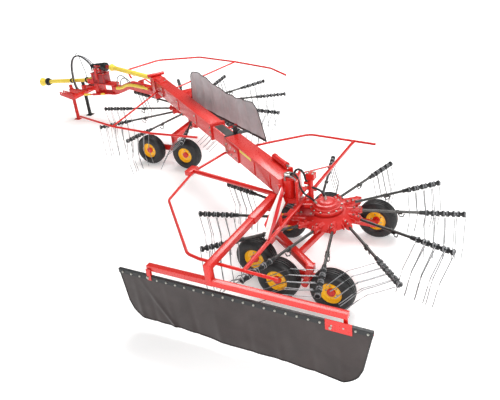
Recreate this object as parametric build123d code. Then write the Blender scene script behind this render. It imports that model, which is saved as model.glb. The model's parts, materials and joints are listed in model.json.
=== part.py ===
from build123d import *
from math import asin, cos, degrees, hypot, radians, sin
import os

# Towed side-delivery hay rake with two rotors under a telescopic beam.
# The tractor's lower links carry the headstock, the beam trails to the rear left from it.
# +X is the way it travels, +Y its left side, +Z up, all lengths are millimetres.
# Places in plan are measured from the rear rotor's centre until the last step.

# Layout in plan
front_rotor_x = 3570
front_rotor_y = -2760
post_x = 4350
post_y = -2870
hitch_pivot_x = 5750
hitch_pivot_y = -3300
beam_swing = 37
beam_length = 4950

# Clearances
seat_gap = 0.3
running_gap = 6
bearing_gap = 0.05
overrun = 5
match_tolerance = 0.5

# Rotors
rear_arm_count = 12
rear_rotor_radius = 1500
rear_first_tip_angle = -162
front_arm_count = 11
front_rotor_radius = 1640
front_first_tip_angle = -178.2
arm_height = 712
arm_droop_angle = 0.2
arm_tube_radius = 17
# The arms pass the axle on one side, as spokes that lie on a tangent
arm_offset = 110
arm_root_radius = 390
carrier_radius = 23
carrier_start_share = 0.70
hook_share = 0.52
hook_width = 14
hook_drop = 70
hook_length = 60
tines_per_arm = 8
tine_thickness = 9
tine_drop = 590
tine_first_share = 0.735
tine_last_share = 0.99
tine_bend_trail_share = 0.13
tine_bend_drop_share = 0.55
tine_tip_trail_share = 0.05
# Arms that the cam has lifted in the photograph: arm number, degrees their tines trail
rear_lifts = {8: 45, 9: 75, 10: 75, 11: 38}
front_lifts = {0: 40, 10: 70, 9: 40}

# Rotor head
hub_radius = 330
hub_bottom = 662
hub_rim = 30
hub_shoulder_radius = 215
hub_top = 772
socket_radius = 36
socket_start = 190
axle_radius = 60
gearbox_radius = 190
gearbox_step_radius = 150
gearbox_crown_radius = 85
gearbox_rim_height = 45
gearbox_step_height = 80
gearbox_height = 118

# Wheels
tyre_radius = 250
tyre_width = 190
bead_radius = 125
wheel_bore_radius = 25
hub_boss_radius = 46
hub_boss_reach = 62
rim_disc_half = 12
rim_half_width = 70
# Tyre section: share of the way from bead to tread, share of the half width
tyre_section_shares = ((0, 0.72), (0.40, 1.0), (0.80, 0.94), (1.0, 0.66))
rear_track_half = 780
rear_axle_shift = -45
rear_axle_half = 315
rear_axle_back = 24
guide_wheel_x = 715
guide_wheel_y = 445
front_track_half = 930
front_axle_half = 360
front_axle_back = 43

# Chassis under each rotor
column_half = 85
column_bottom = 330
column_top = 600
collar_radius = 92
rocker_width = 40
rocker_height = 90
rocker_drop = 8
rocker_gap_to_tyre = 24
chassis_tube = 90
chassis_height = 430
leg_tube = 70
pivot_radius = 28
pivot_boss_radius = 48
stub_reach_past_wheel = 6
rear_column_half = 75
rear_column_bottom = 500
rear_spine_height = 545
rear_spine_width = 100
rear_frame_height = 470
rear_frame_tube = 80
rear_frame_front = 560
rear_frame_spread = 260
rear_corner_back = 66
rear_corner_in = 15
rear_strut_tube = 56
rear_strut_share = 0.66
rear_leg_tube = 60
rear_leg_boss_radius = 40
rear_leg_boss_reach = 15

# Beam
beam_over_gearbox = 49
outer_beam_end = 2880
outer_beam_width = 200
outer_beam_depth = 210
beam_wall = 8
inner_beam_start = 1700
inner_beam_end = 3430
inner_beam_width = 170
inner_beam_depth = 180
slide_pad_length = 120
rear_beam_start = 3400
rear_beam_width = 220
rear_beam_depth = 220
knee_length = 420
knee_width = 262
knee_fillet = 60
beam_bearing_radius = 68
yaw_pin_radius = 30

# Post at the beam's front end
post_half = 95
post_drop = 270
post_rise = 110
post_stub_radius = 30
post_stub_length = 300
post_stub_rise = 142
post_stub_foot = 46

# Gooseneck from the hitch pivot to the post
neck_size = 130
neck_wall = 10
neck_low = 700
neck_drop = 200
neck_level_end = 200
neck_rise_end = 560
neck_bend = 230
neck_bearing_radius = 66
neck_bearing_half = 80
neck_brace_radius = 14
neck_brace_start = 420
neck_brace_side = 74
neck_brace_top = 1000
neck_brace_foot = 860
neck_saddle_width = 90
neck_saddle_thickness = 20

# Headstock
fork_plate = 24
fork_half_width = 100
fork_front = 6180
console_front = 6400
console_half_width = 110
console_top = 790
deck_bottom = 660
deck_top = 745
crossbar_past_console = 70
crossbar_size = 80
deck_tongue_width = 160
deck_tongue_depth = 70
deck_tongue_back = 40
crossbar_height = 610
link_spacing_half = 412
link_plate = 14
link_gap_half = 40
link_front = 6800
link_root_height = 110
link_tip_height = 70
link_tip_rise = 60
link_hole_radius = 14.5
hitch_gearbox_back = 5900
hitch_gearbox_front = 6230
hitch_gearbox_half_width = 85
hitch_gearbox_top = 1000
output_housing = (5950, 6120)
output_housing_half = 60
output_housing_top = 1150
output_cone_front = 6250
output_cone_mouth = 5860
output_cone_radius = 80
output_cone_tip_radius = 25
output_neck_radius = 34
output_height = 1125
input_height = 845

# Drive shafts with their guards
guard_radius = 42
guard_cone_radius = 68
guard_cone_length = 120
joint_yoke_radius = 38
joint_ball_radius = 40
upper_cone_start = 32
pto_front_x = 7740
pto_front_height = 700
pto_bore_radius = 17.5
pto_bore_length = 80
pto_back_x = 6215

# Parking legs
left_leg_y = -3180
right_leg_y = -3440
leg_pin_gap = 8
leg_size = 50
leg_sleeve_wall = 8
leg_clearance = 0.8
leg_top = 740
leg_sleeve_bottom = 520
leg_sleeve_top = 655
foot_size = 130
foot_thickness = 14

# Hanger that carries the front rotor from the beam
hanger_width = 150
hanger_depth = 110

# Rear head
head_plate_behind = 95
head_plate_half_width = 150
head_plate_thickness = 28
head_plate_drop = 238
head_fork_low_plate = 60
head_fork_high_plate = 26
neck_housing_radius = 52
guard_drop = 150
cross_tube_x = 232
cross_tube_radius = 22
hoop_radius = 17
forward_arm_radius = 29
hoop_bracket_size = 90
hoop_bracket_height = 60
hoop_bend = 160
sleeve_x = 530
sleeve_size = 80
sleeve_wall = 6
sleeve_start = 250
sleeve_end = 800

# Swath curtain on the left
curtain_arm_start = 330
curtain_bar_size = 60
curtain_bar_y = 1690
curtain_bar_front = 1270
curtain_bar_back = -860
curtain_bar_drop = 250
curtain_top = 705
curtain_bottom = 70
curtain_front = 1650
curtain_back = -1090
curtain_thickness = 8
curtain_y = 1715
curtain_corner = 210
curtain_clamp_height = 46
curtain_clamp_thickness = 12
curtain_drop_size = 40

# Middle curtain, folded up beside the beam
fold_rail_radius = 13
fold_rail_drop = 60
fold_rail_front = (3150, -2190)
fold_rail_back = (1300, -1120)
fold_front_rise = 570
fold_back_rise = 330
fold_thickness = 8
fold_corner = 70
fold_lug_radius = 24
fold_lug_share = (0.12, 0.62)

# Warning boards: two strips one above the other, they fall outwards behind the cross tube
board_width = 108
board_thickness = 6
board_gap = 12
board_inner = (620, 1246)
board_outer = (1063, 1040)
board_post_size = 24
board_post_at = (700, 980)

# Guard tubes: places in plan in shares of the rotor radius that they go round
left_hoop_shares = ((1.25, -0.09), (1.17, 0.39), (0.61, 0.985), (0.5, 1.01), (-0.09, 1.04))
right_hoop_shares = ((1.25, -0.15), (1.18, -0.53), (0.9, -0.84), (0.6, -1.12), (-0.05, -1.06))
front_left_hoop_shares = ((0.72, 0.92), (0.2, 1.055), (-0.28, 1.10), (-0.75, 1.07))
front_right_hoop_shares = (
    (1.0, -0.27), (1.26, -0.52), (1.10, -0.96), (0.62, -1.17), (0.05, -1.06), (-0.5, -0.9), (-0.78, -0.7))
left_stay_share = (0.2, 1.055)
right_stay_share = (0.05, -1.06)
left_stay_at = 300
right_stay_at = 400
stay_radius = 14
front_guard_drop = 75


# Places and heights that follow from the sizes above
crossbar_x = console_front + crossbar_past_console
gearbox_bottom = hub_top + running_gap
gearbox_top = gearbox_bottom + gearbox_height
beam_height = gearbox_top + beam_over_gearbox + outer_beam_depth / 2
post_bottom = beam_height - post_drop
post_top = beam_height + post_rise
post_stub_height = beam_height + post_stub_rise
neck_high = beam_height - neck_drop
head_plate_bottom = beam_height - head_plate_drop
head_fork_low_top = beam_height - rear_beam_depth / 2 - running_gap
head_fork_low = head_fork_low_top - head_fork_low_plate
head_fork_high_bottom = beam_height + rear_beam_depth / 2 + running_gap
head_fork_high = head_fork_high_bottom + head_fork_high_plate
guard_height = beam_height - guard_drop
front_guard_height = beam_height - front_guard_drop
curtain_bar_height = beam_height - curtain_bar_drop
fold_rail_height = beam_height - fold_rail_drop


def block(x0, x1, y0, y1, z0, z1):
    """A box between two corners."""
    middle = ((x0 + x1) / 2, (y0 + y1) / 2, (z0 + z1) / 2)
    return Pos(*middle) * Box(abs(x1 - x0), abs(y1 - y0), abs(z1 - z0))


def facing(start, end):
    """A plane at start that looks towards end, its own x level."""
    way = (Vector(*end) - Vector(*start)).normalized()
    level = Vector(0, 0, 1).cross(way)
    if level.length < 0.001:
        level = Vector(1, 0, 0)
    return Plane(origin=start, x_dir=level.normalized(), z_dir=way)


def reach(start, end):
    return (Vector(*end) - Vector(*start)).length


def bar(start, end, width, height):
    """A square bar from start to end."""
    return extrude(facing(start, end) * Rectangle(width, height), reach(start, end))


def rod(start, end, radius):
    return extrude(facing(start, end) * Circle(radius), reach(start, end))


def cone(start, end, start_radius, end_radius):
    base = facing(start, end)
    length = reach(start, end)
    return base * Pos(0, 0, length / 2) * Cone(start_radius, end_radius, length)


def bent_tube(points, bend, radius):
    """A round tube bent through points in plan or in space."""
    path = FilletPolyline(*points, radius=bend)
    return sweep((path ^ 0) * Circle(radius), path=path)


def upright(x, y, radius, z0, z1):
    return Pos(x, y, (z0 + z1) / 2) * Cylinder(radius, z1 - z0)


beam_angle = radians(180 - beam_swing)
beam_way = (cos(beam_angle), sin(beam_angle))
beam_side = (-beam_way[1], beam_way[0])


def on_beam(distance, side=0, height=beam_height):
    """A point behind the post along the beam, side is to the machine's right of it."""
    x = post_x + beam_way[0] * distance + beam_side[0] * side
    y = post_y + beam_way[1] * distance + beam_side[1] * side
    return (x, y, height)


def beam_box(start, end, width, depth, side=0, height=beam_height):
    return bar(on_beam(start, side, height), on_beam(end, side, height), width, depth)


yaw_x, yaw_y, _ = on_beam(beam_length)


# Rotors
def tine_arm(radius, lift):
    """One arm along +X beside the rotor's centre: tube, hook, carrier and its hanging tines."""
    reach_out = (radius ** 2 - arm_offset ** 2) ** 0.5
    carrier_start = reach_out * carrier_start_share
    tube = rod((arm_root_radius, 0, 0), (carrier_start, 0, 0), arm_tube_radius)
    hook_x = reach_out * hook_share
    hook = block(hook_x, hook_x + hook_length, -hook_width / 2, hook_width / 2, -hook_drop, 0)
    carrier_face = Plane.YZ.offset(carrier_start) * RegularPolygon(carrier_radius, 6)
    carrier = extrude(carrier_face, reach_out - carrier_start)
    spread = reach_out * (tine_last_share - tine_first_share) / (tines_per_arm - 1)
    bend = (-tine_drop * tine_bend_trail_share, -tine_drop * tine_bend_drop_share)
    tip = (-tine_drop * tine_tip_trail_share, -tine_drop)
    section = Plane.XY * Rectangle(tine_thickness, tine_thickness)
    path = Polyline((0, 0, 0), (0, *bend), (0, *tip))
    wire = sweep(section, path=path, transition=Transition.RIGHT)
    tines = [Pos(reach_out * tine_first_share + spread * i, 0, 0) * wire for i in range(tines_per_arm)]
    comb = Rot(-lift, 0, 0) * (carrier + tines)
    arm = tube + hook + comb
    return Pos(0, arm_offset, 0) * Rot(0, arm_droop_angle, 0) * arm


def first_arm_angle(tip_angle, radius):
    """An arm's own angle, from the angle that its tip is seen at from the centre."""
    return tip_angle - degrees(asin(arm_offset / radius))


def rotor_arms(x, y, radius, count, first_angle, lifts):
    """All arms of a rotor. Equal arms are copies of one shape."""
    shapes = {lift: tine_arm(radius, lift) for lift in set(lifts.values()) | {0}}
    arms = []
    for number in range(count):
        angle = first_angle + 360 / count * number
        shape = shapes[lifts.get(number, 0)]
        arms.append(Pos(x, y, arm_height) * Rot(0, 0, angle) * shape)
    return Compound([solid for arm in arms for solid in arm.solids()])


def rotor_hub(x, y, count, first_angle):
    """The turning bell with one socket for each arm."""
    bore = axle_radius + bearing_gap
    profile = Polyline(
        (bore, hub_bottom), (hub_radius, hub_bottom), (hub_radius, hub_bottom + hub_rim),
        (hub_shoulder_radius, hub_top), (bore, hub_top), close=True)
    bell = revolve(Plane.XZ * make_face(profile), Axis.Z)
    sockets = []
    for number in range(count):
        angle = first_angle + 360 / count * number
        socket = rod((socket_start, arm_offset, 0), (arm_root_radius, arm_offset, 0), socket_radius)
        sockets.append(Pos(0, 0, arm_height) * Rot(0, 0, angle) * Rot(0, arm_droop_angle, 0) * socket)
    hub = bell + sockets
    hub -= Pos(0, 0, (hub_bottom + hub_top) / 2) * Cylinder(bore, hub_top - hub_bottom + 2 * overrun)
    return Pos(x, y, 0) * hub



def gearbox(x, y):
    """The domed gearbox that stands still above the bell."""
    profile = Polyline(
        (0, gearbox_bottom), (gearbox_radius, gearbox_bottom),
        (gearbox_radius, gearbox_bottom + gearbox_rim_height),
        (gearbox_step_radius, gearbox_bottom + gearbox_step_height),
        (gearbox_crown_radius, gearbox_top), (0, gearbox_top), close=True)
    return Pos(x, y, 0) * revolve(Plane.XZ * make_face(profile), Axis.Z)


# Wheels
def wheel_tyre(x, y):
    half = tyre_width / 2
    rise = tyre_radius - bead_radius
    points = [(bead_radius + rise * up, half * out) for up, out in tyre_section_shares]
    points += [(radius, -out) for radius, out in reversed(points)]
    ring = revolve(make_face(Polyline(*points, close=True)), Axis.Y)
    return Pos(x, y, tyre_radius) * ring


def wheel_rim(x, y):
    outer = bead_radius - seat_gap
    bore = wheel_bore_radius + bearing_gap
    points = [
        (bore, -hub_boss_reach), (hub_boss_radius, -hub_boss_reach), (hub_boss_radius, -rim_disc_half),
        (outer, -rim_half_width), (outer, rim_half_width), (hub_boss_radius, rim_disc_half),
        (hub_boss_radius, hub_boss_reach), (bore, hub_boss_reach)]
    disc = revolve(make_face(Polyline(*points, close=True)), Axis.Y)
    return Pos(x, y, tyre_radius) * disc


# Chassis under a rotor
def stub_axle(x, y0, y1):
    return rod((x, y0, tyre_radius), (x, y1, tyre_radius), wheel_bore_radius)


def rocker(x, y, side, track_half, axle_half):
    """The beam that carries two wheels in tandem, on the inner side of them."""
    inner = track_half - tyre_width / 2 - rocker_gap_to_tyre
    outer_face = y + side * inner
    inner_face = outer_face - side * rocker_width
    low = tyre_radius - rocker_height / 2
    beam = block(x - axle_half, x + axle_half, inner_face, outer_face, low, low + rocker_height)
    end = y + side * (track_half + hub_boss_reach + stub_reach_past_wheel)
    for wheel_x in (x - axle_half, x + axle_half):
        beam += rod((wheel_x, inner_face, tyre_radius), (wheel_x, outer_face, tyre_radius), rocker_height / 2)
        beam += stub_axle(wheel_x, outer_face, end)
    beam += rod((x, inner_face, tyre_radius + rocker_drop), (x, outer_face, tyre_radius + rocker_drop),
                pivot_boss_radius)
    return beam


def chassis(x, y, track_half, back):
    """Column and axle under the rotor, with an arm and a leg to each rocker's pivot."""
    frame = block(x - column_half, x + column_half, y - column_half, y + column_half,
                  column_bottom, column_top)
    frame += upright(x, y, collar_radius, column_top, hub_bottom - running_gap)
    frame += upright(x, y, axle_radius, column_top, gearbox_bottom)
    inner = track_half - tyre_width / 2 - rocker_gap_to_tyre - rocker_width
    for side in (-1, 1):
        face = y + side * (inner - seat_gap)
        leg_y = face - side * leg_tube / 2
        frame += bar((x, y, chassis_height), (x - back, leg_y, chassis_height), chassis_tube, chassis_tube)
        leg_top = chassis_height + chassis_tube / 2
        low = tyre_radius + rocker_drop - pivot_boss_radius
        frame += block(x - back - leg_tube / 2, x - back + leg_tube / 2, face, face - side * leg_tube,
                       low, leg_top)
    return frame


nodes = {}

# Outer beam with the post and the hanger for the front rotor
pad_x = (outer_beam_width - 2 * beam_wall - inner_beam_width) / 2 - seat_gap
pad_z = (outer_beam_depth - 2 * beam_wall - inner_beam_depth) / 2 - seat_gap
outer_beam_start = post_half + seat_gap
outer_beam = beam_box(outer_beam_start, outer_beam_end, outer_beam_width, outer_beam_depth)
outer_beam -= beam_box(outer_beam_start + overrun, outer_beam_end + overrun,
                       outer_beam_width - 2 * beam_wall, outer_beam_depth - 2 * beam_wall)
mouth = beam_box(outer_beam_end - slide_pad_length, outer_beam_end, outer_beam_width, outer_beam_depth)
mouth -= beam_box(outer_beam_end - slide_pad_length - overrun, outer_beam_end + overrun,
                  inner_beam_width + 2 * seat_gap, inner_beam_depth + 2 * seat_gap)
outer_beam += mouth
nodes["outer_beam"] = outer_beam

post_base = Plane(origin=(post_x, post_y, post_bottom), x_dir=(*beam_way, 0), z_dir=(0, 0, 1))
post = extrude(post_base * Rectangle(2 * post_half, 2 * post_half), post_top - post_bottom)
stub_start = on_beam(0, -post_stub_length / 2, post_stub_height)
stub_end = on_beam(0, post_stub_length / 2, post_stub_height)
post += rod(stub_start, stub_end, post_stub_radius)
post += bar((post_x, post_y, post_top - overrun), (post_x, post_y, post_stub_height),
            post_stub_foot, post_stub_foot)
nodes["pivot_post"] = post

# The front rotor hangs beside the beam: where its centre lies along it and how far out
front_way = (front_rotor_x - post_x, front_rotor_y - post_y)
hanger_at = front_way[0] * beam_way[0] + front_way[1] * beam_way[1]
hanger_out = front_way[0] * beam_side[0] + front_way[1] * beam_side[1]
hanger_height = gearbox_top + hanger_depth / 2
hanger = bar(on_beam(hanger_at, outer_beam_width / 2 + seat_gap, hanger_height),
             on_beam(hanger_at, hanger_out, hanger_height), hanger_width, hanger_depth)
hanger += upright(front_rotor_x, front_rotor_y, hanger_width / 2, gearbox_top, gearbox_top + hanger_depth)
nodes["front_hanger"] = hanger

# Gooseneck
neck_end = on_beam(-post_half - seat_gap, 0, neck_high)
neck_run = (Vector(*neck_end[:2]) - Vector(hitch_pivot_x, hitch_pivot_y)).normalized()


def on_neck(distance, side, height):
    """A point behind the hitch pivot along the neck, in plan, side to its left."""
    return (hitch_pivot_x + neck_run.X * distance - neck_run.Y * side,
            hitch_pivot_y + neck_run.Y * distance + neck_run.X * side, height)


neck_length = hypot(neck_end[0] - hitch_pivot_x, neck_end[1] - hitch_pivot_y)
neck_path = FilletPolyline(on_neck(0, 0, neck_low), on_neck(neck_level_end, 0, neck_low),
                           on_neck(neck_rise_end, 0, neck_high), neck_end, radius=neck_bend)
neck = sweep((neck_path ^ 0) * Rectangle(neck_size, neck_size), path=neck_path)
neck_room = neck_size + 2 * seat_gap
neck_hull = sweep((neck_path ^ 0) * Rectangle(neck_room, neck_room), path=neck_path)
neck += upright(hitch_pivot_x, hitch_pivot_y, neck_bearing_radius, neck_low - neck_bearing_half,
                neck_low + neck_bearing_half)
neck -= upright(hitch_pivot_x, hitch_pivot_y, yaw_pin_radius + bearing_gap, neck_low - 2 * neck_bearing_half,
                neck_low + 2 * neck_bearing_half)
brace_at = neck_length - neck_brace_start
for brace_side in (-neck_brace_side, neck_brace_side):
    neck += rod(on_neck(brace_at, brace_side, neck_brace_top),
                on_neck(neck_length, brace_side, neck_brace_foot), neck_brace_radius)
neck += rod(on_neck(brace_at, -neck_brace_side, neck_brace_top),
            on_neck(brace_at, neck_brace_side, neck_brace_top), neck_brace_radius)
neck += bar(on_neck(brace_at, 0, neck_high), on_neck(brace_at, 0, neck_brace_top), neck_saddle_thickness,
            neck_saddle_width)
cut_size = 2 * post_half
neck -= bar(on_beam(-post_half - seat_gap, 0, beam_height), on_beam(-post_half + cut_size, 0, beam_height),
            3 * cut_size, 4 * cut_size)
nodes["gooseneck"] = neck

# Headstock: a fork on the pivot, a console, a cross bar and the lower link cheeks
fork_low_top = neck_low - neck_bearing_half - seat_gap
fork_high_bottom = neck_low + neck_bearing_half + seat_gap
headstock = Part()
for low in (fork_low_top - fork_plate, fork_high_bottom):
    headstock += upright(hitch_pivot_x, hitch_pivot_y, fork_half_width, low, low + fork_plate)
    headstock += block(hitch_pivot_x, fork_front, hitch_pivot_y - fork_half_width,
                       hitch_pivot_y + fork_half_width, low, low + fork_plate)
headstock += upright(hitch_pivot_x, hitch_pivot_y, yaw_pin_radius, fork_low_top - fork_plate,
                     fork_high_bottom + fork_plate)
console_back = fork_front - fork_half_width
headstock += block(console_back, fork_front, hitch_pivot_y - console_half_width,
                   hitch_pivot_y + console_half_width, fork_low_top - fork_plate, console_top)
headstock += block(console_back, console_front, hitch_pivot_y - console_half_width,
                   hitch_pivot_y + console_half_width, deck_bottom, deck_top)
crossbar_half = link_spacing_half + link_gap_half + link_plate
headstock += block(crossbar_x - crossbar_size / 2, crossbar_x + crossbar_size / 2,
                   hitch_pivot_y - crossbar_half, hitch_pivot_y + crossbar_half,
                   crossbar_height - crossbar_size / 2, crossbar_height + crossbar_size / 2)
headstock += bar((console_front - deck_tongue_back, hitch_pivot_y, (deck_bottom + deck_top) / 2),
                 (crossbar_x, hitch_pivot_y, crossbar_height), deck_tongue_width, deck_tongue_depth)
cheek_root_low = crossbar_height - link_root_height / 2
cheek_tip_low = crossbar_height + link_tip_rise - link_tip_height / 2
cheek_outline = Polyline(
    (crossbar_x, cheek_root_low), (link_front, cheek_tip_low), (link_front, cheek_tip_low + link_tip_height),
    (crossbar_x, cheek_root_low + link_root_height), close=True)
cheek_face = Plane.XZ * make_face(cheek_outline)
pin_x = link_front - link_tip_height / 2
pin_height = crossbar_height + link_tip_rise
for side in (-1, 1):
    centre = hitch_pivot_y + side * link_spacing_half
    for cheek_y in (centre - link_gap_half, centre + link_gap_half + link_plate):
        headstock += Pos(0, cheek_y, 0) * extrude(cheek_face, link_plate)
    headstock -= rod((pin_x, centre - link_gap_half - link_plate - overrun, pin_height),
                     (pin_x, centre + link_gap_half + link_plate + overrun, pin_height), link_hole_radius)
# One leg stands before the lower link pin and one behind it, so that the pin can pass
leg_to_pin = leg_size / 2 + leg_pin_gap + link_hole_radius
left_leg_x = pin_x + leg_to_pin
right_leg_x = pin_x - leg_to_pin
leg_hole_half = leg_size / 2 + leg_clearance
sleeve_half = leg_hole_half + leg_sleeve_wall
for leg_x, leg_y in ((left_leg_x, left_leg_y), (right_leg_x, right_leg_y)):
    headstock += block(crossbar_x, leg_x, leg_y - sleeve_half, leg_y + sleeve_half,
                       crossbar_height - crossbar_size / 2, crossbar_height + crossbar_size / 2)
    headstock += block(leg_x - sleeve_half, leg_x + sleeve_half, leg_y - sleeve_half, leg_y + sleeve_half,
                       leg_sleeve_bottom, leg_sleeve_top)
    headstock -= block(leg_x - leg_hole_half, leg_x + leg_hole_half, leg_y - leg_hole_half,
                       leg_y + leg_hole_half, leg_sleeve_bottom - overrun, leg_sleeve_top + overrun)
nodes["headstock"] = headstock

for leg_name, leg_x, leg_y in (("parking_leg_left", left_leg_x, left_leg_y),
                               ("parking_leg_right", right_leg_x, right_leg_y)):
    leg = bar((leg_x, leg_y, 0), (leg_x, leg_y, leg_top), leg_size, leg_size)
    leg += bar((leg_x, leg_y, 0), (leg_x, leg_y, foot_thickness), foot_size, foot_size)
    nodes[leg_name] = leg

# Transfer gearbox on the console, its output cone points back along the beam's shaft
hitch_gearbox = block(hitch_gearbox_back, hitch_gearbox_front, hitch_pivot_y - hitch_gearbox_half_width,
                      hitch_pivot_y + hitch_gearbox_half_width, fork_high_bottom + fork_plate,
                      hitch_gearbox_top)
cone_tip_x = hitch_pivot_x + joint_ball_radius + running_gap
hitch_gearbox += block(*output_housing, hitch_pivot_y - output_housing_half,
                       hitch_pivot_y + output_housing_half, hitch_gearbox_top - overrun, output_housing_top)
hitch_gearbox += cone((output_cone_front, hitch_pivot_y, output_height),
                      (output_cone_mouth, hitch_pivot_y, output_height), output_cone_tip_radius,
                      output_cone_radius)
hitch_gearbox += rod((output_cone_mouth, hitch_pivot_y, output_height),
                     (cone_tip_x, hitch_pivot_y, output_height), output_neck_radius)
nodes["hitch_gearbox"] = hitch_gearbox

# Front drive shaft from the tractor, in its guard
pto_front = (pto_front_x, hitch_pivot_y, pto_front_height)
pto_back = (pto_back_x, hitch_pivot_y, input_height)
pto_way = (Vector(*pto_back) - Vector(*pto_front)).normalized()


def on_pto(distance):
    point = Vector(*pto_front) + pto_way * distance
    return (point.X, point.Y, point.Z)


pto_length = reach(pto_front, pto_back)
pto_shaft = rod(on_pto(guard_cone_length), on_pto(pto_length - guard_cone_length), guard_radius)
pto_shaft += cone(on_pto(guard_cone_length), on_pto(joint_yoke_radius), guard_radius, guard_cone_radius)
pto_shaft += cone(on_pto(pto_length - guard_cone_length), on_pto(pto_length - joint_yoke_radius),
                  guard_radius, guard_cone_radius)
pto_shaft += rod(on_pto(0), on_pto(joint_yoke_radius), joint_yoke_radius)
pto_shaft += rod(on_pto(pto_length - joint_yoke_radius), on_pto(pto_length + overrun), joint_yoke_radius)
pto_shaft -= rod(on_pto(-overrun), on_pto(pto_bore_length), pto_bore_radius)
pto_shaft -= block(hitch_gearbox_front + seat_gap, hitch_gearbox_back, hitch_pivot_y - guard_cone_radius,
                   hitch_pivot_y + guard_cone_radius, console_top - seat_gap, hitch_gearbox_top)
nodes["pto_shaft"] = pto_shaft

# Upper drive shaft along the gooseneck to the post
upper_front = (hitch_pivot_x, hitch_pivot_y, output_height)
upper_back = on_beam(-post_half - seat_gap, 0, beam_height + guard_radius)
upper_way = (Vector(*upper_back) - Vector(*upper_front)).normalized()


def on_upper(distance):
    point = Vector(*upper_front) + upper_way * distance
    return (point.X, point.Y, point.Z)


upper_length = reach(upper_front, upper_back)
upper_shaft = rod(on_upper(guard_cone_length), on_upper(upper_length), guard_radius)
upper_shaft += cone(on_upper(guard_cone_length), on_upper(upper_cone_start), guard_radius, guard_cone_radius)
upper_shaft += Pos(*upper_front) * Sphere(joint_ball_radius)
upper_shaft -= bar(on_beam(-post_half - seat_gap, 0, beam_height), on_beam(post_half, 0, beam_height),
                   3 * cut_size, 4 * cut_size)
nodes["upper_shaft"] = upper_shaft

# Rear beam: the inner tube that slides in the outer one, the knee and the rear part
inner_beam = beam_box(inner_beam_start, inner_beam_end, inner_beam_width, inner_beam_depth)
inner_beam -= beam_box(inner_beam_start - overrun, inner_beam_end - overrun,
                       inner_beam_width - 2 * beam_wall, inner_beam_depth - 2 * beam_wall)
shoe = beam_box(inner_beam_start, inner_beam_start + slide_pad_length,
                inner_beam_width + 2 * pad_x, inner_beam_depth + 2 * pad_z)
shoe -= beam_box(inner_beam_start - overrun, inner_beam_start + slide_pad_length + overrun,
                 inner_beam_width, inner_beam_depth)
inner_beam += shoe
nodes["inner_beam"] = inner_beam

rear_beam_end = beam_length - beam_bearing_radius / 2
rear_beam = beam_box(rear_beam_start, rear_beam_end, rear_beam_width, rear_beam_depth)
knee = beam_box(rear_beam_start, rear_beam_start + knee_length, knee_width, rear_beam_depth)
rear_beam_top = beam_height + rear_beam_depth / 2
knee_top_edges = knee.edges().filter_by(lambda e: abs(e.center().Z - rear_beam_top) < match_tolerance)
knee_long_edges = knee_top_edges.filter_by(lambda e: e.length > knee_width + match_tolerance)
knee = fillet(knee_long_edges, knee_fillet)
rear_beam += knee
rear_beam += upright(yaw_x, yaw_y, beam_bearing_radius, beam_height - rear_beam_depth / 2,
                     beam_height + rear_beam_depth / 2)
rear_beam -= upright(yaw_x, yaw_y, yaw_pin_radius + bearing_gap, beam_height - rear_beam_depth,
                     beam_height + rear_beam_depth)
rear_beam -= beam_box(rear_beam_start - overrun, inner_beam_end + seat_gap, inner_beam_width + 2 * seat_gap,
                      inner_beam_depth + 2 * seat_gap)
rear_beam -= beam_box(inner_beam_end - overrun, rear_beam_end - 2 * beam_bearing_radius,
                      rear_beam_width - 2 * beam_wall, rear_beam_depth - 2 * beam_wall)
nodes["rear_beam"] = rear_beam

# Rear head: fork on the beam's bearing, plate, housing to the gearbox, cross tube, forward arm and sleeve
yaw_to_hub = (Vector(0, 0) - Vector(yaw_x, yaw_y)).normalized()


def behind_yaw(distance, height):
    return (yaw_x + yaw_to_hub.X * distance, yaw_y + yaw_to_hub.Y * distance, height)


plate_height = (head_plate_bottom + head_fork_high) / 2
head = bar(behind_yaw(head_plate_behind, plate_height),
           behind_yaw(head_plate_behind + head_plate_thickness, plate_height),
           2 * head_plate_half_width, head_fork_high - head_plate_bottom)
for low, high in ((head_fork_low, head_fork_low_top), (head_fork_high_bottom, head_fork_high)):
    head += upright(yaw_x, yaw_y, beam_bearing_radius, low, high)
    middle = (low + high) / 2
    head += bar(behind_yaw(0, middle), behind_yaw(head_plate_behind + head_plate_thickness / 2, middle),
                2 * beam_bearing_radius, high - low)
head += upright(yaw_x, yaw_y, yaw_pin_radius, head_fork_low, head_fork_high)
housing_height = gearbox_bottom + neck_housing_radius
housing_end = hypot(yaw_x, yaw_y) - gearbox_step_radius
head += rod(behind_yaw(head_plate_behind, housing_height), behind_yaw(housing_end, housing_height),
            neck_housing_radius)


def hoop_side(shares):
    """How far across a rear guard tube's last run is where the cross tube meets it."""
    (fore, fore_across), (aft, aft_across) = shares[-2:]
    part_way = (cross_tube_x / rear_rotor_radius - fore) / (aft - fore)
    return rear_rotor_radius * (fore_across + (aft_across - fore_across) * part_way)


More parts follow.
